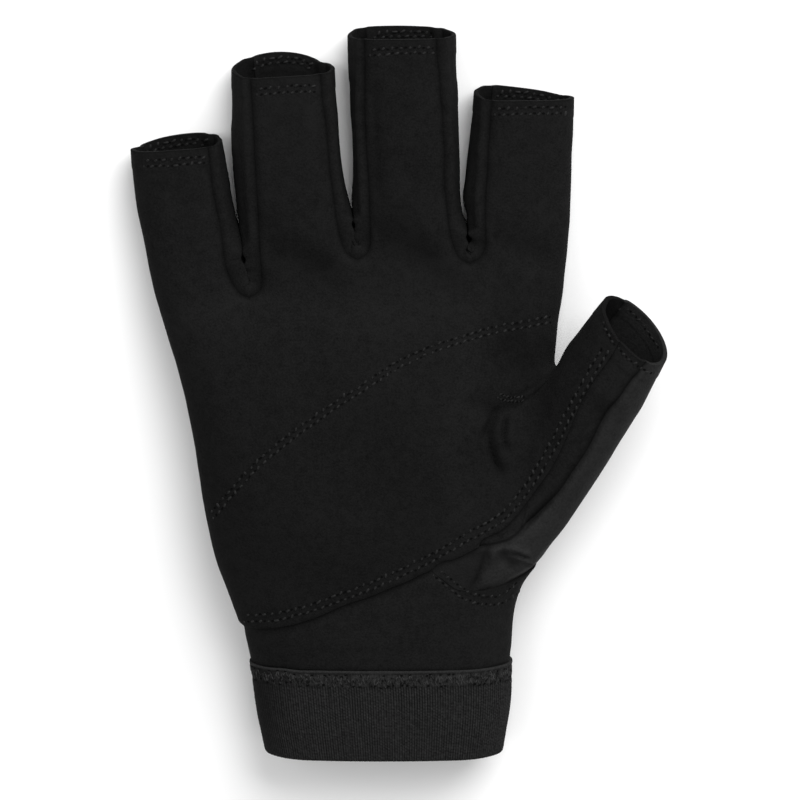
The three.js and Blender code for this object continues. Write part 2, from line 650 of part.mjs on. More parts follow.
// Back: from the cuff to the crotches, then the four finger backs
const backLeft = [...wrist.slice(0, WRIST_ROWS).map((row) => row[0]), ...palm.map((row) => row[0])];
const backRight = [
  ...wrist.slice(0, WRIST_ROWS).map((row) => row[wristColumns]),
  ...sheath.slice(0, FAN_ROWS + 1).map((row) => row[THUMB_ROUND]),
  ...rightSide.slice(1, TOP_ROWS + 1).map((row) => row[SIDE]),
];
const back = [];
backLeft.forEach((leftId, row) => {
  const share = row / (backLeft.length - 1);
  const [a, b] = [points[leftId], points[backRight[row]]];
  if (share === 1) {
    back.push([leftId, ...backCrotch, backRight[row]]);
    return;
  }
  const line = [leftId];
  for (let column = 0; column <= ACROSS; column++) {
    const even = column / ACROSS;
    const crotchAt = points[backCrotch[column]];
    const ends = [points[backCrotch[0]], points[backCrotch[ACROSS]]];
    const crotchShare = (crotchAt.x - ends[0].x) / (ends[1].x - ends[0].x);
    const bend = crotchAt.y - mix(ends[0].y, ends[1].y, crotchShare);
    const at = mix(even, crotchShare, share);
    const y = mix(a.y, b.y, at) + bend * share ** 3;
    const hidden = row > WRIST_ROWS && row <= WRIST_ROWS + FAN_ROWS;
    const right = hidden ? b.x + THUMB_SIDE : outline.right(y);
    const inset = (edge, angle) => roundAt(y) * (1 - Math.cos(rad(angle)));
    const first = outline.left(y) + inset(y, BACK_ANGLE);
    const last = right - inset(y, BACK_ANGLE);
    const x = mix(first, last, at);
    line.push(vertex(x, y, backHeight(x, y, outline.left(y), right)));
  }
  line.push(backRight[row]);
  back.push(line);
});
sew(back, "back_panel", true);
fingerBacks.forEach((rows, number) => {
  const first = number === 0;
  const last = number === FINGERS.length - 1;
  const full = rows.map((line, row) => {
    const leftId = first ? leftSide[palm.length - 1 + row][0] : null;
    const rightId = last ? rightSide[TOP_ROWS + row][SIDE] : null;
    return [...(first ? [leftId] : []), ...line, ...(last ? [rightId] : [])];
  });
  sew(full, "back_panel", true);
});

// Cuff: one loop round the wrist's edge
const loopTop = [...wrist[0], ...[...back[0]].reverse().slice(1)];
const cuff = [];
for (let row = 0; row < CUFF_ROWS; row++) {
  const y = mix(CUFF_EDGE, CUFF_TOP, row / CUFF_ROWS);
  const line = wrist[0].map((id, column) => vertexAt(handPoint(column, y)));
  const under = [...back[0]].reverse().slice(1, -1);
  for (const id of under) {
    const p = points[id];
    const share = (p.x - outline.left(CUFF_TOP)) / (outline.right(CUFF_TOP) - outline.left(CUFF_TOP));
    const x = mix(outline.left(y), outline.right(y), share);
    line.push(vertex(x, y, backHeight(x, y, outline.left(y), outline.right(y))));
  }
  line.push(line[0]);
  cuff.push(line);
}
cuff.push(loopTop);
sew(cuff, "cuff_band");

// The origin is under the middle of the glove's box
const middle = new THREE.Box3().setFromPoints(points).getCenter(new THREE.Vector3()).setZ(0);
for (const p of points) p.sub(middle);

// Vertex normals of the whole outer surface, so that two pieces' walls end in the same line at their seam
const normals = points.map(() => new THREE.Vector3());
for (const piece of Object.values(faces)) {
  for (const cell of piece) {
    cell.forEach((id, i) => {
      const next = points[cell[(i + 1) % 4]].clone().sub(points[id]);
      const last = points[cell[(i + 3) % 4]].clone().sub(points[id]);
      const out = next.cross(last);
      normals[id].add(out.normalize());
    });
  }
}
normals.forEach((n) => n.normalize());

// A piece's wall: its outer face, drawn in from its edges by half a seam gap, the same face set in by the
// wall's thickness, and the rim between them
function wall(cells, thickness) {
  const edges = new Map();
  for (const cell of cells) {
    cell.forEach((a, i) => {
      const b = cell[(i + 1) % 4];
      if (edges.has(`${b} ${a}`)) edges.delete(`${b} ${a}`);
      else edges.set(`${a} ${b}`, [a, b]);
    });
  }
  const inward = new Map();
  for (const [a, b] of edges.values()) {
    const edge = points[b].clone().sub(points[a]).normalize();
    for (const id of [a, b]) {
      const into = normals[id].clone().cross(edge).normalize();
      inward.set(id, (inward.get(id) ?? new THREE.Vector3()).add(into));
    }
  }
  const index = new Map();
  const outer = [];
  const inner = [];
  for (const id of new Set(cells.flat())) {
    const p = points[id].clone();
    const draw = inward.get(id);
    if (draw) {
      const sharp = Math.max(0.7, draw.length() / 2);
      p.addScaledVector(draw.normalize(), SEAM_GAP / 2 / sharp);
    }
    index.set(id, outer.length);
    outer.push(p);
    inner.push(p.clone().addScaledVector(normals[id], -thickness));
  }
  const triangles = [];
  const shift = outer.length;
  for (const cell of cells) {
    const [a, b, c, d] = cell.map((id) => index.get(id));
    triangles.push(a, b, c, a, c, d);
    triangles.push(shift + a, shift + c, shift + b, shift + a, shift + d, shift + c);
  }
  for (const [from, to] of edges.values()) {
    const [a, b] = [index.get(from), index.get(to)];
    triangles.push(a, shift + a, b, b, shift + a, shift + b);
  }
  const geometry = new THREE.BufferGeometry();
  geometry.setFromPoints([...outer, ...inner]);
  geometry.setIndex(triangles);
  geometry.computeVertexNormals();
  return geometry;
}

const suede = new THREE.MeshStandardMaterial({ color: 0x1b1b1b, roughness: 0.95, metalness: 0 });
const jersey = new THREE.MeshStandardMaterial({ color: 0x1c1c1c, roughness: 0.9, metalness: 0 });
const lightJersey = new THREE.MeshStandardMaterial({ color: 0x242424, roughness: 0.85, metalness: 0 });
const webbing = new THREE.MeshStandardMaterial({ color: 0x232323, roughness: 0.8, metalness: 0 });
const FINISH = {
  palm_panel: suede,
  wrist_panel: jersey,
  back_panel: jersey,
  thumb_strip: suede,
  thumb_back: lightJersey,
  cuff_band: webbing,
};

const glove = new THREE.Group();
for (const [name, cells] of Object.entries(faces)) {
  const thickness = name === "cuff_band" ? CUFF_WALL : WALL;
  const mesh = new THREE.Mesh(wall(cells, thickness), FINISH[name] ?? suede);
  mesh.name = name;
  glove.add(mesh);
}

export default glove;
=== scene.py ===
import math

import bmesh
import bpy
import numpy as np
from bpy.props import FloatProperty, FloatVectorProperty, IntProperty, PointerProperty
from mathutils import Matrix, Vector, noise
from mathutils.bvhtree import BVHTree
from mathutils.kdtree import KDTree


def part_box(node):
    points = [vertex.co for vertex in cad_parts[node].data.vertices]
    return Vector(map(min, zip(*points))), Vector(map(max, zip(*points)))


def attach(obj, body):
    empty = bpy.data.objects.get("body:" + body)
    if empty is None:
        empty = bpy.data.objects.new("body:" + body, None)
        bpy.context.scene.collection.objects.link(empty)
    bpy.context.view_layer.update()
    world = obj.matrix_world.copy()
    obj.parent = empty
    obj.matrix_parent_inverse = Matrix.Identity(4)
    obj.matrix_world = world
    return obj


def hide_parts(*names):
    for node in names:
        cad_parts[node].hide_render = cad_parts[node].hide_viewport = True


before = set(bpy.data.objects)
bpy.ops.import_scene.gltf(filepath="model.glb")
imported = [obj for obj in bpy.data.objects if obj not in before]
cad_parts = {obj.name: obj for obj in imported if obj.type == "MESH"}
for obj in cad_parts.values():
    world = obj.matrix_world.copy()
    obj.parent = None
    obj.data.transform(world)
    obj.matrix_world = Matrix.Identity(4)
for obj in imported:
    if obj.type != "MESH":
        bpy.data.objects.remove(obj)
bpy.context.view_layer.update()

bl_info = {
    "name": "Short-finger watersports glove",
    "version": (1, 0, 0),
    "blender": (4, 5, 0),
    "location": "View3D > Sidebar > Glove",
    "description": "Sews a short-finger watersports glove from its pattern pieces",
    "category": "Add Mesh",
}

MM = 0.001

# The camera: its tilt from straight above, its distance, and the size of one dot of its 800 by 800 frame
TILT = math.radians(12)
DISTANCE = 1.1
DOT = 0.26 * MM
FRAME_DOTS = 800
SENSOR = 36.0
MIDDLE = (400.5, 394.0)  # the dot over the origin of the pattern
REACH_HEIGHT = 10 * MM  # height at which a dot has its size
PATTERN_SHIFT = Vector((-0.488 * MM, 1.398 * MM, 0))  # from the row's origin to the pattern's

# The studio: its square lamps, with the width of each in metres, its power in watts and its place, the
# strength of the white light from all round, and the width of the floor in metres
LAMPS = {
    "key": {"wide": 1.1, "power": 24.0, "place": (0.5, 0.95, 0.8)},
    "fill": {"wide": 0.9, "power": 3.0, "place": (-0.8, 0.2, 1.0)},
}
SKY_STRENGTH = 0.6
FLOOR = 8

# The nine pieces: wall of the CAD part in millimetres, the way its outer face looks, and its slot
PIECES = {
    "palm_panel": {"wall": 1.5, "out": (0, 0, 1), "slot": "palm_suede"},
    "fourchette_little_ring": {"wall": 1.5, "out": None, "slot": "finger_suede"},
    "fourchette_ring_middle": {"wall": 1.5, "out": None, "slot": "finger_suede"},
    "fourchette_middle_index": {"wall": 1.5, "out": None, "slot": "finger_suede"},
    "thumb_strip": {"wall": 1.5, "out": (0, 0, 1), "slot": "finger_suede"},
    "wrist_panel": {"wall": 1.5, "out": (0, 0, 1), "slot": "jersey"},
    "thumb_back": {"wall": 1.5, "out": (0.86, -0.5, -0.2), "slot": "light_jersey"},
    "back_panel": {"wall": 1.5, "out": (0, 0, -1), "slot": "jersey"},
    "cuff_band": {"wall": 1.9, "out": None, "slot": "cuff_webbing"},
}
NAMES = list(PIECES)  # a face's material number in the skin is its piece's place in this list
FOURCHETTES = [name for name in NAMES if name.startswith("fourchette")]
SEAM_KINDS = ("turned", "edge", "arc", "cuff", "hem")

# Folds of the cloth as the camera sees them: how deep each is, or how high where depth is below 0, its
# half width and how much its right bank stands up, all in millimetres, by what share painted shade darkens
# the cloth in it, and its line in dots of the frame. One that goes through a seam is listed for the pieces
# on both sides.
LOWER_SEAM = [(560, 492), (538, 515), (525, 528), (512, 540), (497, 545), (485, 547), (468, 547), (450, 545)]
FOLDS = [
    # Where the thumb leaves the palm: the main crease, its banks, and the edge that lies over it
    {"on": "palm_panel", "deep": 1.6, "wide": 1.1, "bank": 0.8, "dull": 0.25, "line": [
        (503, 402), (494, 416), (489, 430), (490, 443), (493, 456), (498, 470), (505, 489)]},
    {"on": "palm_panel", "deep": 0.8, "wide": 2.4, "bank": 0, "dull": 0.15, "line": [
        (497, 440), (503, 460), (511, 482)]},
    {"on": "palm_panel", "deep": -0.6, "wide": 2.8, "bank": 0, "dull": 0, "line": [
        (493, 394), (479, 418), (471, 440), (468, 466)]},
    {"on": "palm_panel", "deep": 0.5, "wide": 1.0, "bank": 0.1, "dull": 0.1, "line": [
        (489, 424), (482, 439), (478, 458)]},
    {"on": "palm_panel", "deep": 1.1, "wide": 0.8, "bank": 0.4, "dull": 0.25, "line": [
        (509, 409), (504.5, 424), (504, 438), (507, 456)]},
    {"on": "palm_panel", "deep": 0.25, "wide": 0.4, "bank": 0.15, "dull": 0.15, "line": [
        (558, 364), (543, 379), (534, 387), (526, 391.5), (517, 397), (503, 402)]},
    # The broad dips below the forks, along the middle finger and on the ball of the thumb
    {"on": "palm_panel", "deep": 1.3, "wide": 4.5, "bank": 0, "dull": 0.2, "line": [
        (256, 232), (285, 258), (350, 272)]},
    {"on": "palm_panel", "deep": 1.3, "wide": 4.5, "bank": 0, "dull": 0.18, "line": [
        (366, 212), (392, 245), (460, 266)]},
    {"on": "palm_panel", "deep": 0.9, "wide": 4.0, "bank": 0, "dull": 0.16, "line": [
        (482, 212), (505, 243), (565, 262)]},
    {"on": "palm_panel", "deep": 0.8, "wide": 3.0, "bank": 0, "dull": 0.1, "line": [
        (372, 60), (371, 110), (373, 170), (376, 215)]},
    {"on": "palm_panel", "deep": 1.2, "wide": 6.0, "bank": 0, "dull": 0.18, "line": [
        (498, 330), (520, 360), (543, 388)]},
    # The lower seam of the thumb strip
    {"on": "thumb_back", "deep": 0.7, "wide": 0.65, "bank": 0, "dull": 0.35, "through": True,
     "line": LOWER_SEAM},
    {"on": "thumb_strip", "deep": 0.7, "wide": 0.65, "bank": 0, "dull": 0.35, "through": True,
     "line": LOWER_SEAM},
    # The gusset at the thumb's base
    {"on": "thumb_back", "deep": 0.9, "wide": 0.85, "bank": 0.4, "dull": 0.4, "line": [
        (489, 541), (487, 553), (483.5, 566), (479, 577), (471, 594)]},
    {"on": "thumb_back", "deep": 1.0, "wide": 1.5, "bank": 0, "dull": 0.3, "line": [
        (497, 550), (506, 560), (518, 570)]},
    {"on": "thumb_back", "deep": -0.7, "wide": 0.8, "bank": 0, "dull": 0, "line": [
        (500, 548), (516, 550), (534, 557)]},
    {"on": "thumb_back", "deep": 0.5, "wide": 0.7, "bank": 0, "dull": 0.1, "line": [
        (508, 553.5), (519, 556), (531, 560)]},
    {"on": "thumb_back", "deep": -0.6, "wide": 0.6, "bank": 0, "dull": 0, "line": [
        (512, 557), (524, 560), (536, 566)]},
    # The small wrinkles at the bottom of each fork
    {"on": "fourchette_little_ring", "deep": 0.6, "wide": 0.5, "bank": 0.2, "dull": 0.25, "line": [
        (240, 266), (249, 271), (260, 271)]},
    {"on": "fourchette_little_ring", "deep": 0.4, "wide": 0.5, "bank": 0.1, "dull": 0.15, "line": [
        (243, 285), (250, 279), (257, 283)]},
    {"on": "fourchette_ring_middle", "deep": 0.5, "wide": 0.45, "bank": 0.2, "dull": 0.25, "line": [
        (351, 229), (358, 231), (366, 231)]},
    {"on": "fourchette_ring_middle", "deep": 0.5, "wide": 0.45, "bank": 0.2, "dull": 0.25, "line": [
        (350, 236), (357, 239), (365, 243)]},
    {"on": "fourchette_middle_index", "deep": 0.6, "wide": 0.5, "bank": 0.2, "dull": 0.3, "line": [
        (463, 242), (469, 238), (476, 239), (481, 248)]},
    {"on": "fourchette_middle_index", "deep": 0.5, "wide": 0.5, "bank": 0.1, "dull": 0.2, "line": [
        (468, 246), (470, 251), (469, 257)]},
]

# Broad painted shade, or painted light where the share is below 0: the share, the half width in
# millimetres and the middle line in dots of the frame
SHADES = [
    {"on": "palm_panel", "dull": 0.2, "wide": 4.0, "line": [
        (232, 176), (262, 212), (300, 250), (345, 280)]},
    {"on": "palm_panel", "dull": 0.22, "wide": 4.5, "line": [
        (350, 150), (385, 205), (425, 250), (460, 285)]},
    {"on": "palm_panel", "dull": -0.12, "wide": 3.5, "line": [
        (488, 225), (510, 262), (570, 268)]},
    {"on": "palm_panel", "dull": 0.16, "wide": 6.5, "line": [
        (490, 300), (515, 345), (540, 380), (560, 420)]},
    {"on": "palm_panel", "dull": -0.12, "wide": 6.0, "line": [
        (150, 330), (240, 310), (340, 325), (470, 300)]},
    {"on": "palm_panel", "dull": 0.16, "wide": 11.0, "line": [
        (170, 420), (230, 500), (290, 560), (360, 590)]},
    {"on": "palm_panel", "dull": -0.14, "wide": 4.0, "line": [
        (485, 290), (470, 360), (455, 430), (462, 520)]},
    {"on": "palm_panel", "dull": 0.1, "wide": 8.0, "line": [
        (340, 400), (400, 470), (430, 560)]},
    {"on": "wrist_panel", "dull": 0.16, "wide": 9.0, "line": [
        (235, 620), (262, 645), (290, 665)]},
    # painted shadow under the palm's edge and in a dent at the thumb's base
    {"on": "thumb_back", "dull": 0.3, "wide": 1.8, "line": [
        (466, 549), (476, 553), (488, 556)]},
    {"on": "thumb_back", "dull": 0.25, "wide": 1.6, "line": [
        (492, 560), (504, 559), (516, 563)]},
]

# How the cloth stands up, or lies low where the height is below 0, along its seams: the distance from the
# seam, the half width and the height, in millimetres
BELOW_PALM = ["thumb_strip", "wrist_panel", "thumb_back"]
SEAM_RIDGES = [
    {"on": FOURCHETTES, "seam": "turned", "from": 2.1, "wide": 1.1, "high": 0.5},
    {"on": ["palm_panel"], "seam": "edge", "from": 0, "wide": 5, "high": 0.5},
    {"on": BELOW_PALM, "seam": "edge", "from": 0, "wide": 0.8, "high": 0.3},
    {"on": BELOW_PALM, "seam": "edge", "from": 0, "wide": 2.6, "high": -0.4},
    {"on": ["wrist_panel"], "seam": "arc", "from": 0, "wide": 4, "high": 0.3},
    {"on": ["thumb_back"], "seam": "arc", "from": 0, "wide": 3, "high": -0.25},
    {"on": ["thumb_back"], "seam": "arc", "from": 0, "wide": 1.1, "high": -0.1},
    {"on": ["wrist_panel", "back_panel"], "seam": "cuff", "from": 0, "wide": 4, "high": -0.2},
]
# Where the cloth puckers along a seam: the distance from it, the half width and the height, in millimetres
PUCKERS = [
    {"on": NAMES, "seam": "turned", "from": 0, "wide": 2.4, "high": 0.12},
    {"on": NAMES, "seam": "arc", "from": 0, "wide": 2.5, "high": 0.12},
    {"on": ["palm_panel"], "seam": "edge", "from": 2.5, "wide": 2.5, "high": 0.07},
]
# How dark the painted shade along a seam or a hem is: the half width in millimetres and the share
SEAM_SHADES = [
    {"on": NAMES, "seam": "turned", "wide": 0.6, "dull": 0.52},
    {"on": NAMES, "seam": "hem", "wide": 0.35, "dull": 0.45},
    {"on": ["thumb_strip"], "seam": "edge", "wide": 0.9, "dull": 0.25},
    {"on": ["wrist_panel", "thumb_back"], "seam": "edge", "wide": 0.9, "dull": 0.45},
    {"on": ["wrist_panel"], "seam": "arc", "wide": 0.9, "dull": 0.3},
    {"on": ["thumb_back"], "seam": "arc", "wide": 1.3, "dull": 0.5},
    {"on": ["wrist_panel", "back_panel"], "seam": "cuff", "wide": 0.9, "dull": 0.25},
]
# The share of the arc seam's shape that a piece has runs from 0 to 1 between these dots across the frame
ARC_SHOWS = (462, 476)
# The end of the thumb strip has no seam that shows: its dots across the frame, from the left and with a fade
# to the right, the dots down it where it fades in, and a distance at which a seam shapes the cloth no more
STRIP_END = {"left": 430, "right": (512, 528), "down": (500, 512)}
SEAM_REACH = 9
HEM_DEPTH = 4.6  # millimetres of cloth turned in at a hem
HEM_RISE = 0.12  # how high it lifts the cloth, in millimetres
HEM_CALM = 0.7  # the share by which it calms the cloth's slow waves
CORNER_LIGHT = 0.5  # how much lighter the nap is where a hem meets a seam, low on a finger
ROLL_DEPTH, ROLL_WIDTH = 0.2, 0.7  # millimetres by which a cut edge rolls down, and over how much
STITCH_PULL = 0.22  # millimetres that a row of stitches draws the cloth down
INSIDE_SHADE = 0.78  # brightness that painted shade leaves on the cloth inside the glove, as a share
STRIP_CLOTH = 0.88  # how thick the strips are against the panels
OFF_FLOOR = 0.02 * MM  # the least height of the cloth over the floor
RIM_BEVEL = 0.3 * MM  # how far a hem's edges are rounded

# Slow random heights of the cloth, in millimetres, in lumps of a size in millimetres, each with its seed: as
# it lies, puckered along a seam, creased at the thumb's base and gathered at the cuff
LIE = [{"high": 0.38, "lump": 19, "seed": 3.7}, {"high": 0.14, "lump": 6.5, "seed": 9.1}]
PUCKERED = [{"high": 1.0, "lump": 2.6, "seed": 17.3}, {"high": 0.6, "lump": 1.4, "seed": 27.9}]
CREASED = [{"high": 0.35, "lump": 5.5, "seed": 51.3}]
GATHERED = [{"high": 0.25, "lump": 3.2, "seed": 33.1}]

# The elastic cuff, in millimetres: the depth of the band at its top, the length of a dash in a rib and how
# high a rib stands. Left of the dots across the frame its ribs get painted shade and stand lower, fading out
# between them.
BAND = 4.2
DASH = 0.9
RIB_HEIGHT = 0.2
CUFF_SIDE = (258, 288)
# How it stands up, or lies low where the height is below 0, round its upper edge and its band: the distance
# from the upper edge, the half width and the height
CUFF_RIDGES = [
    {"from": 0.3, "wide": 0.45, "high": 0.25},
    {"from": 1.2, "wide": 0.4, "high": -0.1},
    {"from": 4.6, "wide": 0.4, "high": -0.1},
]
CUFF_CELLS = 3  # cells of the mesh across each rib
CUFF_LINES = 60  # cells of the mesh down the cuff
# The threads that cross its band: their number, their upper and lower ends below its top, and their width
CROSSINGS = 70
CROSSING_ENDS = (1.3, 4.4)
CROSSING_WIDTH = 0.34

# The forks between two fingers: where the walls of the gap come together, in dots down the frame, the dark
# hollow that is left above the fork, and the bottom of the seam, which runs round
FORKS = [
    {"on": "fourchette_little_ring", "apart": 217, "together": 232,
     "hollow": (245, 259), "bottom": (252, 296)},
    {"on": "fourchette_ring_middle", "apart": 197, "together": 212,
     "hollow": (354, 225), "bottom": (357, 259)},
    {"on": "fourchette_middle_index", "apart": 209, "together": 225,
     "hollow": (468, 238), "bottom": (469, 264)},
]

# How those walls close, in millimetres of height: between which heights they begin to lean, and the level
# above which they part again, its rise toward the hollow and how softly they part
GAP_STARTS = (1.5, 3.5)
GAP_LEVEL, GAP_RISE, GAP_FADE = 9, 3, 3
GAP_LEAN = 0.49  # the share of the gap that each wall leans across
OPEN_LOOP = (9, 15)  # dots round a fork's bottom, within and beyond which the gap is open and closed
HOLLOW_SHARE = 0.42  # how far the hollow opens the gap again

# Where the thumb strip and the slivers beside it run out in a point at the palm's edge, in dots of the frame
POINTED = [(452.5, 559.5), (474.7, 548.5)]
# Where the pattern's cells are narrow and the skin is evened out: a dot of the frame and how far round it
UNEVEN = [((478, 546), 24), ((549, 372), 9), ((604, 412), 13)]

# How the skin is sewn and evened out
SEAM_GAP = 0.48 * MM  # points of two pieces that are nearer than this are one seam
PALM_SIDE = 8 * MM  # height above which a point is on the palm's side of the glove
END_REACH = 4  # dots round a pointed end that are drawn to it
FORK_REACH = 11  # dots round the bottom of a fork that are rounded
FORK_RISE = 2.6  # dots that the bottom of a fork is drawn up
FORK_MIDDLE = 3  # half width of the part that is drawn up, in dots
FORK_SIDES = (6.5, 3.5)  # middle and half width of the part on each side that goes down instead, in dots
EVENING_STEPS = 40

# Left of this line the thumb's jersey gets painted shade, down to the tone of the wrist's jersey, in dots of
# the frame
TONE_LINE = [
    (690, 295), (640, 365), (606, 414), (577, 455), (553, 496), (538, 515), (525, 528), (512, 539),
    (498, 545), (489, 549), (484, 566), (480, 577), (475, 590), (466, 612),
]
GUSSET_SHADE = 0.42  # brightness of that painted shade, as a share: the wrist's jersey against the thumb's
FAR_SIDE_FROM = 520  # dots across the frame, from where the far side of the thumb gets no painted shade either

# Rows of stitches: the pieces that the row pulls down, the space between its two rows, or 0 for one row,
# the length of a stitch and its space, and the middle line, in dots of the frame. "shift" moves the line to
# the left of its own way. "walls" are those that the thread shows on, counted along the camera's ray, from
# the last one where below 0. "sunk" is how far the thread lies in the cloth, in millimetres.
SUNK = 0.03
STITCH_SLANT = math.radians(30)
STITCH_TURN = 1.3  # how far a stitch turns from its slant at most, in radians
STITCH_SHARE, STITCH_VARIES = 0.95, 0.6  # its length against the modelled one's, and how much that varies
STITCH_SLIP = 0.4  # how far it slips aside at most, in millimetres
HOLE_VARIES = 0.7  # how much a needle hole's length varies
# The modelled stitch: the shares of its length that lie flat and in each end, and how deep the ends go in,
# as a share of the thread's thickness, and thin out
STITCH_FLAT, STITCH_END, STITCH_DIVE, STITCH_THIN = 0.5, 0.27, 0.55, 0.6
# The modelled needle hole: its radius, the width of its rim and its depth, as shares of the thread's
# thickness, and how much longer it is than wide
HOLE_RADIUS, HOLE_RIM, HOLE_DEPTH, HOLE_LONG = 0.46, 0.15, 0.05, 1.35
FRONT, BOTH_FACES, FAR_SIDE = [0], [0, 1], [-1, -2]
ROWS = [
    {"name": "palm_arc", "on": ["palm_panel"], "gap": 5.8, "pitch": 8.4, "walls": FRONT, "line": [
        (211, 517), (236, 488), (255, 467), (287, 440), (313, 421), (337, 404), (362, 388.5), (386, 372),
        (410, 359), (434, 348.5), (459, 340.5), (495, 330), (519, 325.5), (553, 319)]},
    {"name": "palm_edge", "on": ["palm_panel"], "gap": 6.8, "pitch": 8.0, "walls": FRONT, "shift": 9.4,
     "line": [
        (244, 628), (265, 627), (283, 625), (300, 621), (320, 615), (350, 604), (388, 589), (434, 567),
        (471, 546), (507, 525), (533, 496), (545, 478), (553, 464), (564, 445), (572, 428), (580, 414),
        (586.5, 401), (596, 384), (604, 370), (614, 354)]},
    {"name": "thumb_arc", "on": ["wrist_panel"], "gap": 8.0, "pitch": 8.2, "walls": FRONT, "sunk": 0.1,
     "line": [
        (435, 572), (448, 582), (458, 590), (470, 597), (484, 600), (498, 600), (510, 594), (521, 584)]},
    {"name": "bar_tack", "on": [], "gap": 4.0, "pitch": 3.6, "walls": FRONT, "sunk": 0.22, "line": [
        (498, 396), (506, 398.5), (514, 399.5), (524, 399)]},
    {"name": "little_hem", "on": ["palm_panel"], "gap": 6.0, "pitch": 8.0, "walls": BOTH_FACES, "line": [
        (143, 163.8), (160, 162.9), (182, 161.4), (207, 159.8)]},
    {"name": "ring_hem", "on": ["palm_panel"], "gap": 5.9, "pitch": 8.8, "walls": BOTH_FACES, "line": [
        (256, 92.2), (286, 89.6), (318, 88.2)]},
    {"name": "middle_hem", "on": ["palm_panel"], "gap": 5.6, "pitch": 9.0, "walls": BOTH_FACES, "line": [
        (369, 53), (384, 51.9), (402, 50.6), (433, 50.2)]},
    {"name": "index_hem", "on": ["palm_panel"], "gap": 6.2, "pitch": 8.8, "walls": BOTH_FACES, "line": [
        (494, 112), (530, 110.8), (568, 109.8)]},
    {"name": "thumb_hem", "on": ["thumb_strip", "thumb_back"], "gap": 0, "pitch": 7.5, "walls": FRONT,
     "sunk": 0.1, "line": [
        (618, 348), (624.6, 355), (629, 359.6), (636, 364.6), (642, 369), (648, 372.5), (656, 373.5)]},
    {"name": "thumb_palm_hem", "on": ["palm_panel"], "gap": 0, "pitch": 7.0, "walls": FRONT, "line": [
        (603, 322), (606, 330), (610, 338), (615, 345)]},
    {"name": "little_back", "on": [], "gap": 4.5, "pitch": 8.0, "walls": FAR_SIDE, "line": [
        (146, 149.5), (163, 146), (189, 142), (206, 143)]},
    {"name": "ring_back", "on": [], "gap": 4.5, "pitch": 8.0, "walls": FAR_SIDE, "shift": -3, "line": [
        (252, 64), (264, 59.5), (279, 57.5), (292, 57.5), (304, 60), (314, 65)]},
    {"name": "middle_back", "on": [], "gap": 4.5, "pitch": 8.0, "walls": FAR_SIDE, "line": [
        (374, 35), (404, 34.5), (433, 35)]},
    {"name": "index_back", "on": [], "gap": 4.5, "pitch": 8.0, "walls": FAR_SIDE, "line": [
        (497, 93.5), (525, 95.5), (545, 99), (560, 104)]},
    {"name": "thumb_far_hem", "on": [], "gap": 0, "pitch": 7.5, "walls": FAR_SIDE, "sunk": 0.16, "line": [
        (619, 309), (629, 311), (641, 323), (652, 338), (660, 350)]},
]


def linear(code):
    """A colour's linear values from its sRGB hex code."""
    parts = [int(code[i : i + 2], 16) / 255 for i in (1, 3, 5)]
    return (*[p / 12.92 if p <= 0.04045 else ((p + 0.055) / 1.055) ** 2.4 for p in parts], 1)


def length(name, description, default):
    """A size that the user can change, with its default in millimetres."""
    return FloatProperty(name=name, description=description, default=default * MM, min=0, unit="LENGTH")


def colour(name, description, code):
    """A colour that the user can change, with its default as an sRGB hex code."""
    return FloatVectorProperty(
        name=name, description=description, default=linear(code), size=4, min=0, max=1, subtype="COLOR"
    )


class GloveSizes(bpy.types.PropertyGroup):
    """The sizes that the glove is sewn to"""

    levels: IntProperty(
        name="Smoothness", description="Halvings of the pattern's cells", default=3, min=1, max=3
    )
    ribs: IntProperty(name="Ribs", description="Ribs round the elastic cuff", default=230, min=20, max=240)
    cloth: length("Cloth", "Thickness of the panels at a hem", 1.3)
    elastic: length("Elastic", "Thickness of the cuff", 1.6)
    groove: length("Seam groove", "How deep a turned seam is drawn in", 0.75)
    thread: length("Thread", "Thickness of the sewing thread", 0.64)
    stitch: length("Stitch", "Length of a stitch that shows", 1.35)


class GloveColours(bpy.types.PropertyGroup):
    """The colours of the cloths and threads"""

    suede_dark: colour("Suede, dark", "Nap of the suede brushed away from the light", "#090909")
    suede_light: colour("Suede, light", "Nap of the suede brushed to the light", "#151515")
    jersey_dark: colour("Jersey, dark", "Hollows of the jersey's knit", "#090909")
    jersey_light: colour("Jersey, light", "Loops of the jersey's knit", "#161616")
    stretch_dark: colour("Thumb jersey, dark", "Hollows of the thumb's jersey", "#0f0f0f")
    stretch_light: colour("Thumb jersey, light", "Loops of the thumb's jersey", "#1e1e1e")
    elastic_dark: colour("Elastic, dark", "Grooves between the ribs of the cuff", "#050505")
    elastic_light: colour("Elastic, light", "Ribs of the cuff", "#303030")
    thread: colour("Thread", "Sewing thread", "#1b1b1b")
    # painted shade for the needle holes
    hole: colour("Needle hole", "Dark hollow beside a stitch", "#0b0b0b")


def sizes():
    """The sizes as the user has set them."""
    return bpy.context.scene.glove_sizes


def colours():
    """The colours as the user has set them."""
    return bpy.context.scene.glove_colours


# The camera's frame


def seen(points):
    """Where points of the row, in metres, lie in the camera's frame, in dots across and down."""
    x, y, z = (points + np.array(PATTERN_SHIFT)).T
    up = y * math.cos(TILT) - z * math.sin(TILT)
    near = y * math.sin(TILT) + z * math.cos(TILT) - REACH_HEIGHT
    scale = DISTANCE / (DISTANCE - near) / DOT
    return np.stack([MIDDLE[0] + x * scale, MIDDLE[1] - up * scale], axis=1)


def eye():
    """Where the camera is."""
    far = REACH_HEIGHT + DISTANCE
    return Vector((0, far * math.sin(TILT), far * math.cos(TILT))) - PATTERN_SHIFT


def on_plane(across, down):
    """The point under a dot of the frame, on the plane where dots have their size."""
    up = (MIDDLE[1] - down) * DOT
    x = (across - MIDDLE[0]) * DOT
    y = up * math.cos(TILT) + REACH_HEIGHT * math.sin(TILT)
    z = -up * math.sin(TILT) + REACH_HEIGHT * math.cos(TILT)
    return Vector((x, y, z)) - PATTERN_SHIFT


# Meshes


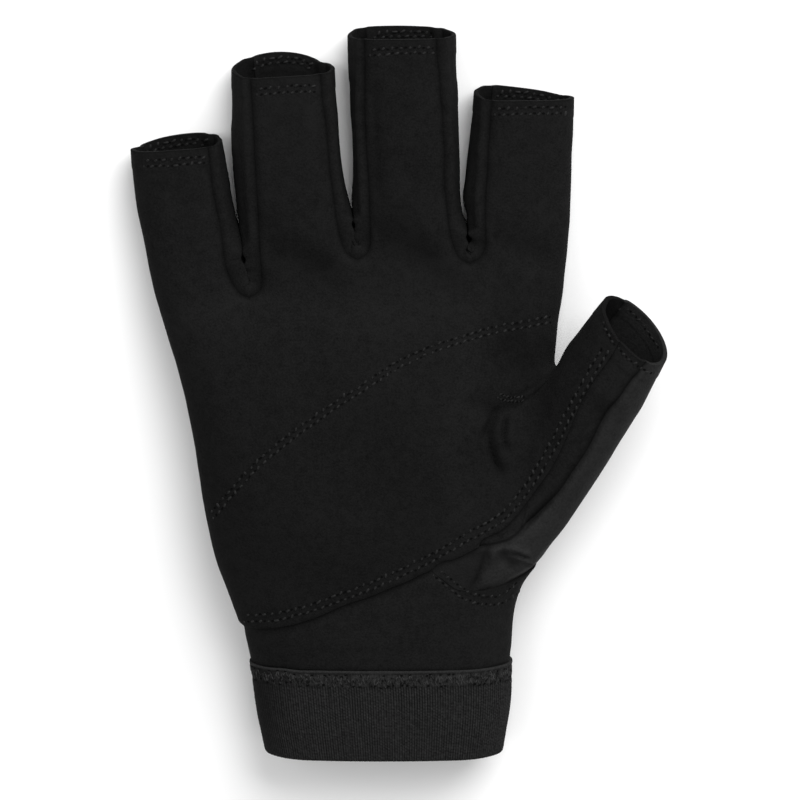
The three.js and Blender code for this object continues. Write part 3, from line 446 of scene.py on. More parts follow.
def new_object(name, data):
    """An object in the scene that shows a mesh, a light or a camera."""
    obj = bpy.data.objects.new(name, data)
    bpy.context.scene.collection.objects.link(obj)
    return obj


def only(obj):
    """Makes obj the one selected and active object."""
    if bpy.context.mode != "OBJECT":
        bpy.ops.object.mode_set(mode="OBJECT")
    bpy.ops.object.select_all(action="DESELECT")
    obj.select_set(True)
    bpy.context.view_layer.objects.active = obj


def apply_modifier(obj, kind, **settings):
    """Adds a modifier with its settings and applies it."""
    only(obj)
    modifier = obj.modifiers.new(kind.lower(), kind)
    for key, value in settings.items():
        setattr(modifier, key, value)
    bpy.ops.object.modifier_apply(modifier=modifier.name)


def vertices_of(mesh, attribute="co"):
    """A mesh's points, or their normals, as an array of three columns."""
    values = np.zeros(len(mesh.vertices) * 3, np.float32)
    mesh.vertices.foreach_get(attribute, values)
    return values.reshape(-1, 3).astype(float)


def bump(distance, width):
    """1 at no distance, falling smoothly to 0 at about two widths."""
    return np.exp(-((distance / width) ** 2))


def ease(value, start=0, end=1):
    """0 up to the start and 1 from the end on, with a smooth rise between."""
    value = np.clip((value - start) / (end - start), 0, 1)
    return value * value * (3 - 2 * value)


def wander(points, size, seed):
    """Slow random values from -1 to 1 over points, with lumps of a size in millimetres."""
    scaled = points / (size * MM) + seed
    return np.array([noise.noise(point) for point in scaled])


def uneven(points, waves):
    """The sum of some slow random heights over points."""
    return sum(wave["high"] * wander(points, wave["lump"], wave["seed"]) for wave in waves)


# The skin


def outer_face(name):
    """The outer face of a CAD panel's wall, as points and triangles."""
    made = PIECES[name]
    shell = bmesh.new()
    shell.from_mesh(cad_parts[name].data)
    bmesh.ops.remove_doubles(shell, verts=shell.verts, dist=1e-6)
    wall = made["wall"] * MM  # only a face of the rim has an edge as long as the wall is thick
    rim = {f for f in shell.faces if any(abs(e.calc_length() - wall) < 5e-7 for e in f.edges)}
    sheets = []
    known = set(rim)
    for face in shell.faces:
        if face in known:
            continue
        known.add(face)
        sheet = [face]
        for one in sheet:
            for edge in one.edges:
                for other in edge.link_faces:
                    if other not in known:
                        known.add(other)
                        sheet.append(other)
        sheets.append(sheet)
    if len(sheets) != 2:
        raise RuntimeError(f"{name} has {len(sheets)} faces, and not an outer and an inner one")
    low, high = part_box(name)
    middle = (low + high) / 2

    def outward(sheet):
        if made["out"]:
            return sum(f.calc_area() * f.normal.dot(Vector(made["out"])) for f in sheet)
        away = sum(f.calc_area() * f.normal.dot(f.calc_center_median() - middle) for f in sheet)
        return away if name == "cuff_band" else -away

    sheet = max(sheets, key=outward)
    number = {}
    triangles = [[number.setdefault(v, len(number)) for v in face.verts] for face in sheet]
    points = [v.co.copy() for v in number]
    shell.free()
    return points, triangles


def point_ends(sheet):
    """Draws each narrow end on the palm's side together, to its point that is furthest up the frame."""
    for point in POINTED:
        sheet.verts.ensure_lookup_table()
        dots = seen(np.array([v.co for v in sheet.verts]))
        far = np.linalg.norm(dots - np.array(point), axis=1)
        near = [i for i in np.nonzero(far < END_REACH)[0] if sheet.verts[i].co.z > PALM_SIDE]
        end = sheet.verts[min(near, key=lambda i: dots[i, 1])].co.copy()
        bmesh.ops.pointmerge(sheet, verts=[sheet.verts[i] for i in near], merge_co=end)


def sew_skin():
    """All outer faces as one sheet of four-sided cells, sewn together at the seams.

    A face's material number says which piece it belongs to.
    """
    points, faces, pieces = [], [], []
    for number, name in enumerate(NAMES):
        more, triangles = outer_face(name)
        faces += [[len(points) + i for i in triangle] for triangle in triangles]
        pieces += [number] * len(triangles)
        points += more
    mesh = bpy.data.meshes.new("rough_skin")
    mesh.from_pydata(points, [], faces)
    for name in NAMES:
        mesh.materials.append(None)
    mesh.polygons.foreach_set("material_index", pieces)
    skin = new_object("rough_skin", mesh)
    only(skin)
    bpy.ops.object.mode_set(mode="EDIT")
    bpy.ops.mesh.select_all(action="SELECT")
    bpy.ops.mesh.tris_convert_to_quads(
        face_threshold=math.pi, shape_threshold=math.pi, topology_influence=1.0, materials=True
    )
    bpy.ops.object.mode_set(mode="OBJECT")
    sheet = bmesh.new()
    sheet.from_mesh(mesh)
    edge = [v for v in sheet.verts if v.is_boundary]
    bmesh.ops.remove_doubles(sheet, verts=edge, dist=SEAM_GAP)
    point_ends(sheet)
    sheet.to_mesh(mesh)
    sheet.free()
    return skin


def subdivided(skin, levels):
    """A smooth copy of the skin that still passes through the skin's own points."""
    goal = vertices_of(skin.data)
    cage = goal.copy()
    for last in (False, False, False, True):
        copy = new_object("smooth_skin", skin.data.copy())
        copy.data.vertices.foreach_set("co", cage.astype(np.float32).ravel())
        fine = levels if last else 2
        apply_modifier(copy, "SUBSURF", levels=fine, render_levels=fine, boundary_smooth="PRESERVE_CORNERS")
        if last:
            return copy
        cage += goal - vertices_of(copy.data)[: len(goal)]
        bpy.data.objects.remove(copy)


def even_out(sheet, chosen):
    """Smooths the chosen points of a sheet."""
    verts = [sheet.verts[i] for i in np.nonzero(chosen)[0]]
    for step in range(EVENING_STEPS):
        bmesh.ops.smooth_vert(
            sheet, verts=verts, factor=0.5, use_axis_x=True, use_axis_y=True, use_axis_z=True
        )


def round_forks(mesh):
    """Draws the sharp bottom of the seam at each fork to a round one, and evens out the narrow places."""
    sheet = bmesh.new()
    sheet.from_mesh(mesh)
    sheet.verts.ensure_lookup_table()
    places = np.array([v.co for v in sheet.verts])
    dots = seen(places)
    palm_side = ease(places[:, 2] / MM, 6, 9)
    for fork in FORKS:
        beside = np.abs(dots[:, 0] - fork["bottom"][0])
        far = np.linalg.norm(dots - np.array(fork["bottom"]), axis=1)
        sides = bump(beside - FORK_SIDES[0], FORK_SIDES[1])
        rise = (bump(beside, FORK_MIDDLE) - sides) * bump(far, FORK_REACH) * palm_side
        for i in np.nonzero(np.abs(rise) > 0.01)[0]:
            sheet.verts[i].co.y += FORK_RISE * DOT * rise[i]
        even_out(sheet, (far < FORK_REACH) & (places[:, 2] > PALM_SIDE))
    for middle, radius in UNEVEN:
        even_out(sheet, np.linalg.norm(dots - np.array(middle), axis=1) < radius)
    sheet.to_mesh(mesh)
    sheet.free()


def seam_kind(one, other, middle):
    """How two pieces are sewn together where their shared line passes a point."""
    pair = {one, other}
    if None in pair:
        return "hem"
    if "cuff_band" in pair:
        return "cuff"
    if pair == {"wrist_panel", "thumb_back"}:
        return "arc"
    lower = {"wrist_panel", "thumb_back", "thumb_strip"}
    if "palm_panel" in pair and pair & lower:
        inner_side = pair == {"palm_panel", "thumb_back"} and middle[1] > 0
        return "turned" if inner_side else "edge"
    return "turned"


def seam_points(mesh):
    """Points along every seam and hem of the skin, by kind."""
    points = vertices_of(mesh)
    sides = {}
    for polygon in mesh.polygons:
        for key in polygon.edge_keys:
            sides.setdefault(key, []).append(NAMES[polygon.material_index])
    lines = {kind: [] for kind in SEAM_KINDS}
    for (a, b), names in sides.items():
        if len(names) == 2 and names[0] == names[1]:
            continue
        middle = (points[a] + points[b]) / 2
        kind = seam_kind(names[0], names[1] if len(names) == 2 else None, middle)
        lines[kind] += [points[a], middle, points[b]]
    return lines


def distance_to(points, line):
    """How far each point is from a line given by closely set points, in millimetres."""
    tree = KDTree(len(line))
    for number, point in enumerate(line):
        tree.insert(point, number)
    tree.balance()
    return np.array([tree.find(point)[2] for point in points]) / MM


def skin_of(name, finer=False):
    """A piece's share of the skin: its points, normals, distances to the seams by kind, and its faces."""
    mesh = bpy.data.meshes.get("skin")
    if mesh is None:
        raise RuntimeError("the skin is made first")
    number = NAMES.index(name)
    faces = [p.vertices[:] for p in mesh.polygons if p.material_index == number]
    used = sorted({v for face in faces for v in face})
    new = {v: i for i, v in enumerate(used)}
    faces = [[new[v] for v in face] for face in faces]
    away = {}
    for kind in SEAM_KINDS:
        values = np.zeros(len(mesh.vertices), np.float32)
        mesh.attributes["from_" + kind].data.foreach_get("value", values)
        away[kind] = values[used].astype(float)
    points, normals = vertices_of(mesh)[used], vertices_of(mesh, "normal")[used]
    if not finer:
        return points, normals, away, faces
    share = bpy.data.meshes.new("finer")
    share.from_pydata(points.tolist(), [], faces)
    numbers = {"normal_" + axis: normals[:, i] for i, axis in enumerate("xyz")} | away
    for key, values in numbers.items():
        layer = share.attributes.new("of_" + key, "FLOAT", "POINT")
        layer.data.foreach_set("value", values.astype(np.float32))
    obj = new_object("finer", share)
    apply_modifier(obj, "SUBSURF", levels=1, render_levels=1, boundary_smooth="PRESERVE_CORNERS")
    share = obj.data
    for key in numbers:
        values = np.zeros(len(share.vertices), np.float32)
        share.attributes["of_" + key].data.foreach_get("value", values)
        numbers[key] = values.astype(float)
    points = vertices_of(share)
    faces = [list(p.vertices) for p in share.polygons]
    bpy.data.objects.remove(obj)
    normals = np.stack([numbers.pop("normal_" + axis) for axis in "xyz"], axis=1)
    return points, normals / np.linalg.norm(normals, axis=1)[:, None], numbers, faces


# The cloth's shape


def smooth_line(knots, step=1.0):
    """A smooth line through knots, as points about a step apart."""
    knots = np.array(knots, float)
    knots = np.vstack([2 * knots[0] - knots[1], knots, 2 * knots[-1] - knots[-2]])
    points = []
    for a, b, c, d in zip(knots, knots[1:], knots[2:], knots[3:]):
        bend, twist = 2 * a - 5 * b + 4 * c - d, 3 * b - a - 3 * c + d
        for t in np.arange(0, 1, step / max(np.linalg.norm(c - b), step)):
            points.append(((2 * b) + (c - a) * t + bend * t**2 + twist * t**3) / 2)
    return np.array(points + [knots[-2]])


def moved_left(line, shift):
    """A line in the frame shifted to the left of its own way, in dots."""
    way = np.gradient(line, axis=0)
    way /= np.linalg.norm(way, axis=1)[:, None]
    return line + shift * np.stack([way[:, 1], -way[:, 0]], axis=1)


def row_lines(row):
    """The lines of one or two rows of stitches, in dots of the frame."""
    line = smooth_line(row["line"])
    sides = (-0.5, 0.5) if row["gap"] else (0,)
    return [moved_left(line, row.get("shift", 0) + side * row["gap"]) for side in sides]


def beside_line(dots, line):
    """How far dots of the frame lie from a line, in dots, on which side, and at what share of its length."""
    best = np.full(len(dots), 1e9)
    side = np.zeros(len(dots))
    along = np.zeros(len(dots))
    knots = np.array(line, float)
    lengths = np.linalg.norm(np.diff(knots, axis=0), axis=1)
    before = np.concatenate([[0], np.cumsum(lengths)])
    for number, span in enumerate(lengths):
        step = (knots[number + 1] - knots[number]) / span
        rest = dots - knots[number]
        t = np.clip(rest @ step, 0, span)
        away = rest - t[:, None] * step
        distance = np.linalg.norm(away, axis=1)
        nearer = distance < best
        best[nearer] = distance[nearer]
        side[nearer] = (step[0] * away[:, 1] - step[1] * away[:, 0])[nearer]
        along[nearer] = (before[number] + t)[nearer] / before[-1]
    return best, np.sign(side), along


def fold_height(name, dots, facing, inside):
    """Height that the named folds and the pull of the rows of stitches give a piece, in millimetres, and how
    bright it is there under the painted shade in the folds and the broad painted shade and light.

    Folds end before the seams, where the share inside is 0, but for those that go through a seam.
    """
    height, tone = np.zeros(len(dots)), np.ones(len(dots))
    for fold in FOLDS:
        if fold["on"] != name:
            continue
        away, side, along = beside_line(dots, smooth_line(fold["line"], 4))
        away *= DOT / MM
        fade = ease(np.minimum(along, 1 - along), 0, 0.3) * facing
        if "through" not in fold:
            fade = fade * inside
        height -= fade * fold["deep"] * bump(away, fold["wide"])
        height += fade * fold["bank"] * bump(away - 2.2 * fold["wide"], 1.3 * fold["wide"]) * (side < 0)
        # painted shade in the fold
        tone *= 1 - fade * fold["dull"] * bump(away, fold["wide"] * 1.1)
    for shade in SHADES:
        if shade["on"] == name:
            away, side, along = beside_line(dots, smooth_line(shade["line"], 6))
            # broad painted shade, or painted light where the share is below 0
            tone *= 1 - facing * shade["dull"] * bump(away * DOT / MM, shade["wide"])
    for row in ROWS:
        if name in row["on"]:
            line = moved_left(smooth_line(row["line"], 6), row.get("shift", 0))
            away, side, along = beside_line(dots, line)
            height -= STITCH_PULL * facing * inside * bump(away * DOT / MM, 1.3)
    return height, tone


def turned_in(from_hem):
    """The share of a hem's turned-in cloth that lies under points, from their distance to the hem."""
    return 1 - ease((from_hem - HEM_DEPTH) / 0.8)


def rolled(distance, width):
    """The share by which a cut edge rolls down, from 1 at the edge to 0 at a width, both in millimetres."""
    return np.clip(1 - distance / width, 0, 1) ** 2


def cloth_height(name, points, facing, away):
    """How far a piece's cloth stands off the smooth skin, in millimetres, and how bright the painted shade
    along its seams and in its folds leaves it, from the distances to its seams."""
    dots = seen(points)
    across, down = dots.T
    inside = ease(away["turned"], 0, 3.0 if name == "palm_panel" else 0.9)
    strip_end = (1 - ease(across, *STRIP_END["right"])) * (across > STRIP_END["left"])
    away = away | {"turned": away["turned"] + SEAM_REACH * strip_end * ease(down, *STRIP_END["down"])}
    shares = {"arc": ease(across, *ARC_SHOWS)}
    height = uneven(points, LIE) * (1 - HEM_CALM * bump(away["hem"], 6))
    height += HEM_RISE * turned_in(away["hem"])
    height -= sizes().groove / MM * bump(away["turned"], 0.9)
    tone = np.ones(len(points))
    for ridge in SEAM_RIDGES:
        if name in ridge["on"]:
            stands = ridge["high"] * bump(away[ridge["seam"]] - ridge["from"], ridge["wide"])
            height += stands * shares.get(ridge["seam"], 1)
    # painted shade along the seams and hems
    for shade in SEAM_SHADES:
        if name in shade["on"]:
            dull = shade["dull"] * bump(away[shade["seam"]], shade["wide"])
            tone *= 1 - dull * shares.get(shade["seam"], 1)
    corner = bump(away["hem"], 1.3) * bump(away["turned"], 1.6) * (points[:, 2] < 6 * MM)
    tone += CORNER_LIGHT * corner
    pucker = uneven(points, PUCKERED)
    for row in PUCKERS:
        if name in row["on"]:
            height += row["high"] * pucker * bump(away[row["seam"]] - row["from"], row["wide"])
    if name == "palm_panel":  # its cut edge rolls down, and it rounds off toward its turned seams
        height -= ROLL_DEPTH * rolled(away["edge"], ROLL_WIDTH)
        height -= 0.4 * bump(away["turned"], 3.5) * ease(away["turned"], 0, 1.2) * ease(away["edge"], 0, 4)
    elif name == "thumb_strip":  # it bulges along its turned seam where it is wide
        wide = away["turned"] + away["edge"]
        height += 0.5 * bump(away["turned"] - 2.1, 1.1) * ease(wide, 2.5, 4.5)
        tone *= 1.12
    elif name == "wrist_panel":  # its cut edge over the thumb's base rolls down
        height -= ROLL_DEPTH * rolled(away["arc"], ROLL_WIDTH) * shares["arc"]
    elif name == "thumb_back":  # it creases under that edge
        creased = bump(away["arc"], 14) * inside * ease(away["edge"], 0, 2.5)
        height += uneven(points, CREASED) * creased
    if name in ("wrist_panel", "back_panel"):  # they gather at the elastic
        height += uneven(points * np.array([1, 0.25, 1]), GATHERED) * bump(away["cuff"], 4)
    folds, nap = fold_height(name, dots, facing, inside)
    return height + folds, tone * nap


def closed_share(fork, dots, height):
    """How far the gap at a fork is closed at points, from their dots and their height in millimetres.

    It is closed from near the floor to a level that rises toward the hollow, and open in the loop of the
    seam round the fork's bottom.
    """
    down = dots[:, 1]
    share = ease(down, fork["apart"], fork["together"])
    level = GAP_LEVEL + GAP_RISE * ease(down, fork["together"], fork["hollow"][1])
    share *= (1 - ease((height - level) / GAP_FADE)) * ease(height, *GAP_STARTS)
    return share * ease(np.linalg.norm(dots - np.array(fork["bottom"]), axis=1), *OPEN_LOOP)


def closing(name, points, normals, away, faces, dots):
    """How far the walls of a gap between two fingers lean across to meet each other, in metres.

    They meet half way up, and the gap stays open as a groove above, with a hollow over the fork.
    """
    lean = np.zeros(len(points))
    for fork in FORKS:
        if fork["on"] != name:
            continue
        tree = BVHTree.FromPolygons(points.tolist(), faces)
        height = points[:, 2] / MM
        share = closed_share(fork, dots, height) * ease(away["turned"], 0, 2.4)
        hollow = HOLLOW_SHARE * bump(dots[:, 1] - fork["hollow"][1], 4.5) * ease(height, 7.5, 9.5)
        touch = GAP_LEAN + 0.015 * ease(fork["bottom"][1] - dots[:, 1], 14, 20)
        for i in np.nonzero(share > 0.01)[0]:
            way = math.copysign(1, normals[i][0])
            start = Vector(points[i]) + Vector((way * 0.05 * MM, 0, 0))
            distance = tree.ray_cast(start, (way, 0, 0), 8 * MM)[3]
            if distance is not None:
                lean[i] = way * touch[i] * distance * share[i] * (1 - hollow[i])
    return lean


def close_inside(obj, outer, inner, away):
    """Moves the inner face of a piece's wall, near its seams, to where the next piece's inner face is too,
    and darkens it with painted shade."""
    places = vertices_of(obj.data)
    count = len(outer)
    if not np.allclose(places[:count], outer, atol=1e-6):
        raise RuntimeError("the wall's points are not in the order of the face they were made from")
    near = bump(np.minimum.reduce([away[kind] for kind in ("turned", "edge", "arc", "cuff")]), 1.2)[:, None]
    places[count : 2 * count] += (inner - places[count : 2 * count]) * near
    obj.data.vertices.foreach_set("co", places.astype(np.float32).ravel())
    obj.data.update()
    tone = np.zeros(len(places), np.float32)
    obj.data.attributes["tone"].data.foreach_get("value", tone)
    # painted shade inside the glove
    tone[count : 2 * count] *= INSIDE_SHADE
    obj.data.attributes["tone"].data.foreach_set("value", tone)


def thicken(obj, thickness, **settings):
    """Gives a sheet its thickness inward, and returns how many faces the sheet had."""
    count = len(obj.data.polygons)
    apply_modifier(obj, "SOLIDIFY", thickness=thickness, offset=-1, **settings)
    return count


def bevel_rims(obj, faces, share):
    """Rounds the long edges of a wall's rim, each by the share of the full width given for its points.

    The rim's faces come after those of the outer and the inner face.
    """
    mesh = obj.data
    count = len(share)
    rim = set()
    for polygon in mesh.polygons[2 * faces :]:
        rim |= {key for key in polygon.edge_keys if (key[0] < count) == (key[1] < count)}
    weights = [min(share[a % count], share[b % count]) if (a, b) in rim else 0.0 for a, b in mesh.edge_keys]
    mesh.attributes.new("bevel_weight_edge", "FLOAT", "EDGE").data.foreach_set("value", weights)
    apply_modifier(obj, "BEVEL", width=RIM_BEVEL, segments=2, limit_method="WEIGHT")


def unshaded_share(normals, dots):
    """The share of the back of the thumb that the painted shade spares: all beyond its line, and all of the
    far side.
    """
    away, side, along = beside_line(dots, smooth_line(TONE_LINE, 4))
    light = ease(0.5 - away * side / 5)
    light[(normals[:, 2] < -0.3) & (dots[:, 0] > FAR_SIDE_FROM)] = 1
    return light


def sew_panel(name, cloth_share, finer=False):
    """One piece of the glove, cut from the smooth skin along its seams, with its folds and its thickness."""
    points, normals, away, faces = skin_of(name, finer)
    dots = seen(points)
    view = np.array((0, math.sin(TILT), math.cos(TILT)))
    facing = np.clip((normals @ view - 0.05) * 5, 0, 1)
    height, tone = cloth_height(name, points, facing, away)
    placed = points + normals * height[:, None] * MM
    placed[:, 0] += closing(name, points, normals, away, faces, dots)
    placed[:, 2] = np.maximum(placed[:, 2], OFF_FLOOR)
    if name == "thumb_back":
        # painted shade on the thumb's jersey left of its line
        tone *= GUSSET_SHADE + (1 - GUSSET_SHADE) * unshaded_share(normals, dots)
    piece = bpy.data.meshes.new(name + "_cloth")
    piece.from_pydata(placed.tolist(), [], faces)
    piece.attributes.new("tone", "FLOAT", "POINT").data.foreach_set("value", tone.astype(np.float32))
    obj = new_object(name + "_cloth", piece)
    thick = obj.vertex_groups.new(name="thick")
    thinner = 0.84 + 0.16 * turned_in(away["hem"])
    for i, share in enumerate(thinner):
        thick.add([i], share, "REPLACE")
    thickness = sizes().cloth * cloth_share
    count = thicken(obj, thickness, use_quality_normals=True, vertex_group="thick")
    close_inside(obj, placed, placed - normals * (thinner * thickness)[:, None], away)
    bevel_rims(obj, count, np.where(away["hem"] < 0.3, 1.0, 0.1))
    finish_piece(obj, [name], [MATERIALS[PIECES[name]["slot"]]()])
    return obj


# The cuff


def rings_of(faces, away_top):
    """The rings of points round a tube of four-sided faces, from its upper edge down."""
    owners = {}
    for number, face in enumerate(faces):
        for a, b in zip(face, face[1:] + face[:1]):
            owners.setdefault(frozenset((a, b)), []).append(number)
    beside = {}
    for key, numbers in owners.items():
        if len(numbers) == 1 and all(away_top[v] < 0.01 for v in key):
            a, b = key
            beside.setdefault(a, []).append(b)
            beside.setdefault(b, []).append(a)
    ring = [min(beside)]
    while len(ring) < len(beside):
        ring.append(next(v for v in beside[ring[-1]] if v not in ring[-2:]))
    rings, used = [ring], set()
    while True:
        below = []
        for a, b in zip(rings[-1], rings[-1][1:] + rings[-1][:1]):
            free = [f for f in owners[frozenset((a, b))] if f not in used]
            if not free:
                return rings
            face = faces[free[0]]
            used.add(free[0])
            at = face.index(a)
            below.append(next(face[(at + s) % 4] for s in (1, 3) if face[(at + s) % 4] != b))
        rings.append(below)


def round_and_down(values, rings, across, down):
    """Values of the cuff's points read at places round the cuff, from 0 to 1, and down it, from 0 to 1."""
    level = np.clip(down, 0, 1) * (len(rings) - 1)
    upper = np.minimum(level.astype(int), len(rings) - 2)
    table = []
    for ring in rings:
        closed = values["points"][ring + ring[:1]]
        run = np.concatenate([[0], np.cumsum(np.linalg.norm(np.diff(closed, axis=0), axis=1))])
        table.append((run / run[-1], ring + ring[:1]))
    result = {}
    for key, data in values.items():
        read = np.zeros((len(across), data.shape[1]))
        for number, (run, ring) in enumerate(table):
            share = np.where(upper == number, 1 - (level - upper), 0) + np.where(
                upper + 1 == number, level - upper, 0
            )
            here = np.nonzero(share)[0]
            for axis in range(data.shape[1]):
                read[here, axis] += share[here] * np.interp(across[here] % 1.0, run, data[ring, axis])
        result[key] = read
    return result


def along_ribs(number, down, step, seed):
    """Slow random values for the ribs by their number, and down each rib where down changes."""
    return wander(np.stack([number * step, down, number * 0], axis=1) * MM, 1, seed)


def cuff_weave(across, top, bottom, places, facing_up):
    """How high the weave of the cuff stands, from 0 to 1, at places round it.

    top and bottom are the distances from its edges in millimetres. Each rib is a row of short dashes, uneven
    as the real yarn is, and above them runs a band that the threads cross. On the left side, facing up, it
    is lowered, which darkens it as painted shade.
    """
    rib = np.abs(np.sin(math.pi * across * sizes().ribs))
    number = np.floor(across * sizes().ribs)
    slip = 3 * along_ribs(number, bottom / 9, 2.3, 5.1)
    dash = np.cos(2 * math.pi * bottom / DASH + math.pi * number + slip)
    uneven_yarn = along_ribs(number, bottom / 0.8, 2.3, 13.1)
    own = along_ribs(number, number * 0, 1.7, 41.7)
    patch = wander(places, 9, 61.9)
    high = 0.46 + (rib - 0.6) * (0.55 + 0.4 * own + 0.4 * patch) + 0.18 * dash + 0.32 * uneven_yarn
    band = 1 - ease((top - BAND) / 0.6)
    weave = 0.5 + 0.45 * wander(places, 0.8, 77.1) + 0.25 * patch + 0.25 * (rib - 0.6)
    high = high * (1 - band) + weave * band - 0.2 * bump(top - BAND - 0.5, 0.3)
    high = np.clip(high, 0, 1) * ease(top, 0.5, 1)
    # painted shade on the left side, which also lowers the ribs there
    painted_left_shade = (1 - ease(seen(places)[:, 0], *CUFF_SIDE)) * facing_up
    return high * (1 - 0.62 * painted_left_shade)


def cuff_surface(across, down):
    """Points, normals and rib heights on the elastic cuff, at places round it and down it; the rib heights
    carry a painted highlight along its upper edge and painted shade toward its left side.
    """
    points, normals, away, faces = skin_of("cuff_band")
    rings = rings_of(faces, away["cuff"])
    from_edges = np.stack([away["cuff"], away["hem"]], axis=1)
    read = round_and_down({"points": points, "normals": normals, "edges": from_edges}, rings, across, down)
    top, bottom = read["edges"].T
    high = cuff_weave(across, top, bottom, read["points"], read["normals"][:, 2] > 0)
    height = 0.12 + RIB_HEIGHT * high + 0.25 * wander(read["points"], 14, 71.3) * ease(bottom, 0, 8)
    height += sum(ridge["high"] * bump(top - ridge["from"], ridge["wide"]) for ridge in CUFF_RIDGES)
    height -= 0.3 * rolled(bottom, 0.8)
    # painted highlight along the upper edge, in the colour only, after the height is set
    high = np.maximum(high, 0.9 * bump(top - 0.25, 0.5))
    way = read["normals"] / np.linalg.norm(read["normals"], axis=1)[:, None]
    placed = read["points"] + way * height[:, None] * MM
    placed[:, 2] = np.maximum(placed[:, 2], OFF_FLOOR)
    return placed, way, high


# Stitches


def model_stitch(thickness, material):
    """One stitch: a short piece of thread along x whose ends go down into the cloth."""
    size = sizes()
    bpy.ops.object.select_all(action="DESELECT")
    bpy.ops.mesh.primitive_cylinder_add(
        vertices=6, radius=thickness / 2, depth=size.stitch * STITCH_FLAT, rotation=(0, math.pi / 2, 0)
    )
    bpy.ops.object.transform_apply(location=False, rotation=True, scale=False)
    obj = bpy.context.active_object
    obj.name = "stitch"
    for way in (-1, 1):
        bpy.ops.object.mode_set(mode="EDIT")
        bpy.ops.mesh.select_all(action="DESELECT")
        bpy.ops.object.mode_set(mode="OBJECT")
        for face in obj.data.polygons:
            face.select = face.normal.x * way > 0.9
        bpy.ops.object.mode_set(mode="EDIT")
        bpy.ops.mesh.select_mode(type="FACE")
        end = (way * size.stitch * STITCH_END, 0, -thickness * STITCH_DIVE)
        bpy.ops.mesh.extrude_region_move(TRANSFORM_OT_translate={"value": end})
        bpy.ops.transform.resize(value=(1, STITCH_THIN, STITCH_THIN))
        bpy.ops.object.mode_set(mode="OBJECT")
    obj.data.materials.append(material)
    only(obj)
    bpy.ops.object.shade_smooth()
    return obj


def model_hole():
    """The hollow that a needle leaves beside a stitch, as a shallow cup, darkened with painted shade."""
    size = sizes()
    bpy.ops.object.select_all(action="DESELECT")
    bpy.ops.mesh.primitive_circle_add(vertices=8, radius=size.thread * HOLE_RADIUS, fill_type="NGON")
    obj = bpy.context.active_object
    obj.name = "needle_hole"
    bpy.ops.object.mode_set(mode="EDIT")
    bpy.ops.mesh.select_all(action="SELECT")
    bpy.ops.transform.resize(value=(HOLE_LONG, 1, 1))
    bpy.ops.mesh.inset(thickness=size.thread * HOLE_RIM)
    bpy.ops.transform.translate(value=(0, 0, -size.thread * HOLE_DEPTH))
    bpy.ops.object.mode_set(mode="OBJECT")
    obj.data.materials.append(hole_material())
    return obj


def copies_of(model, places):
    """Copies of a small model, each with its own mesh, standing at the places."""
    made = []
    for place in places:
        copy = new_object(model.name, model.data.copy())
        copy.matrix_world = place
        made.append(copy)
    return made


def joined(objects, name):
    """The objects as one, at the origin and unturned."""
    bpy.ops.object.select_all(action="DESELECT")
    for obj in objects:
        obj.select_set(True)
    bpy.context.view_layer.objects.active = objects[0]
    bpy.ops.object.join()
    bpy.ops.object.transform_apply()
    objects[0].name = name
    return objects[0]


def standing(place, up, along, turn=0.0, stretch=1.0):
    """The matrix of a small model at a place, with its z up and its x along, turned about up."""
    along = (along - up * along.dot(up)).normalized()
    side = up.cross(along)
    turned = along * math.cos(turn) + side * math.sin(turn)
    side = up.cross(turned)
    return Matrix.Translation(place) @ Matrix((turned * stretch, side, up)).transposed().to_4x4()


def sewn_surface():
    """The panels that have been sewn, as one tree to cast rays at."""
    points, faces = [], []
    for name in NAMES:
        obj = bpy.data.objects.get(name + "_cloth")
        if obj is None:
            raise RuntimeError(f"the stitches come after {name}")
        first = len(points)
        points += vertices_of(obj.data).tolist()
        faces += [[first + v for v in p.vertices] for p in obj.data.polygons]
    return BVHTree.FromPolygons(points, faces)


def walls_under(tree, dot):
    """Every face of cloth that the camera's ray through a dot meets, as places and normals."""
    start = eye()
    way = (on_plane(*dot) - start).normalized()
    found = []
    place = start
    while True:
        where, normal, number, distance = tree.ray_cast(place, way)
        if where is None:
            return found
        found.append((where, normal))
        place = where + way * 0.03 * MM


def at_run(line, run, at):
    """The dot of a line at a distance along it."""
    return np.array([np.interp(at, run, line[:, 0]), np.interp(at, run, line[:, 1])])


def row_places(tree, row):
    """Where the stitches and the needle holes of a row stand.

    A stitch and a hole take turns along each line. Stitches slant, and each differs a little in its turn,
    its length and its place beside the line.
    """
    stitches, holes = [], []
    sunk = row.get("sunk", SUNK) * MM
    for number, line in enumerate(row_lines(row)):
        run = np.concatenate([[0], np.cumsum(np.linalg.norm(np.diff(line, axis=0), axis=1))])
        start = (0.1 + 0.5 * number) * row["pitch"]
        for step, at in enumerate(np.arange(start, run[-1], row["pitch"] / 2)):
            walls = walls_under(tree, at_run(line, run, at))
            if len(walls) < 2:
                continue
            along = on_plane(*at_run(line, run, at + 1.5)) - on_plane(*at_run(line, run, at - 1.5))
            for wall in row["walls"]:
                place, up = walls[wall]
                turn, long, aside = (
                    noise.noise(Vector((at * 0.71, number * 5.3, seed + wall))) for seed in (0, 9, 17)
                )
                place = place + up.cross(along.normalized()) * aside * STITCH_SLIP * MM
                if step % 2 == 0:
                    lift = sizes().thread * (0.02 + 0.2 * long) - sunk
                    slant = STITCH_SLANT + STITCH_TURN * turn
                    stretch = STITCH_SHARE + STITCH_VARIES * long
                    stitches.append(standing(place + up * lift, up, along, slant, stretch))
                else:
                    lift = (0.04 + 0.05 * turn) * MM
                    holes.append(standing(place + up * lift, up, along, turn, 1 + HOLE_VARIES * long))
    return stitches, holes


# Materials

CLOUD = 30  # millimetres between the slow lighter and darker areas of a cloth


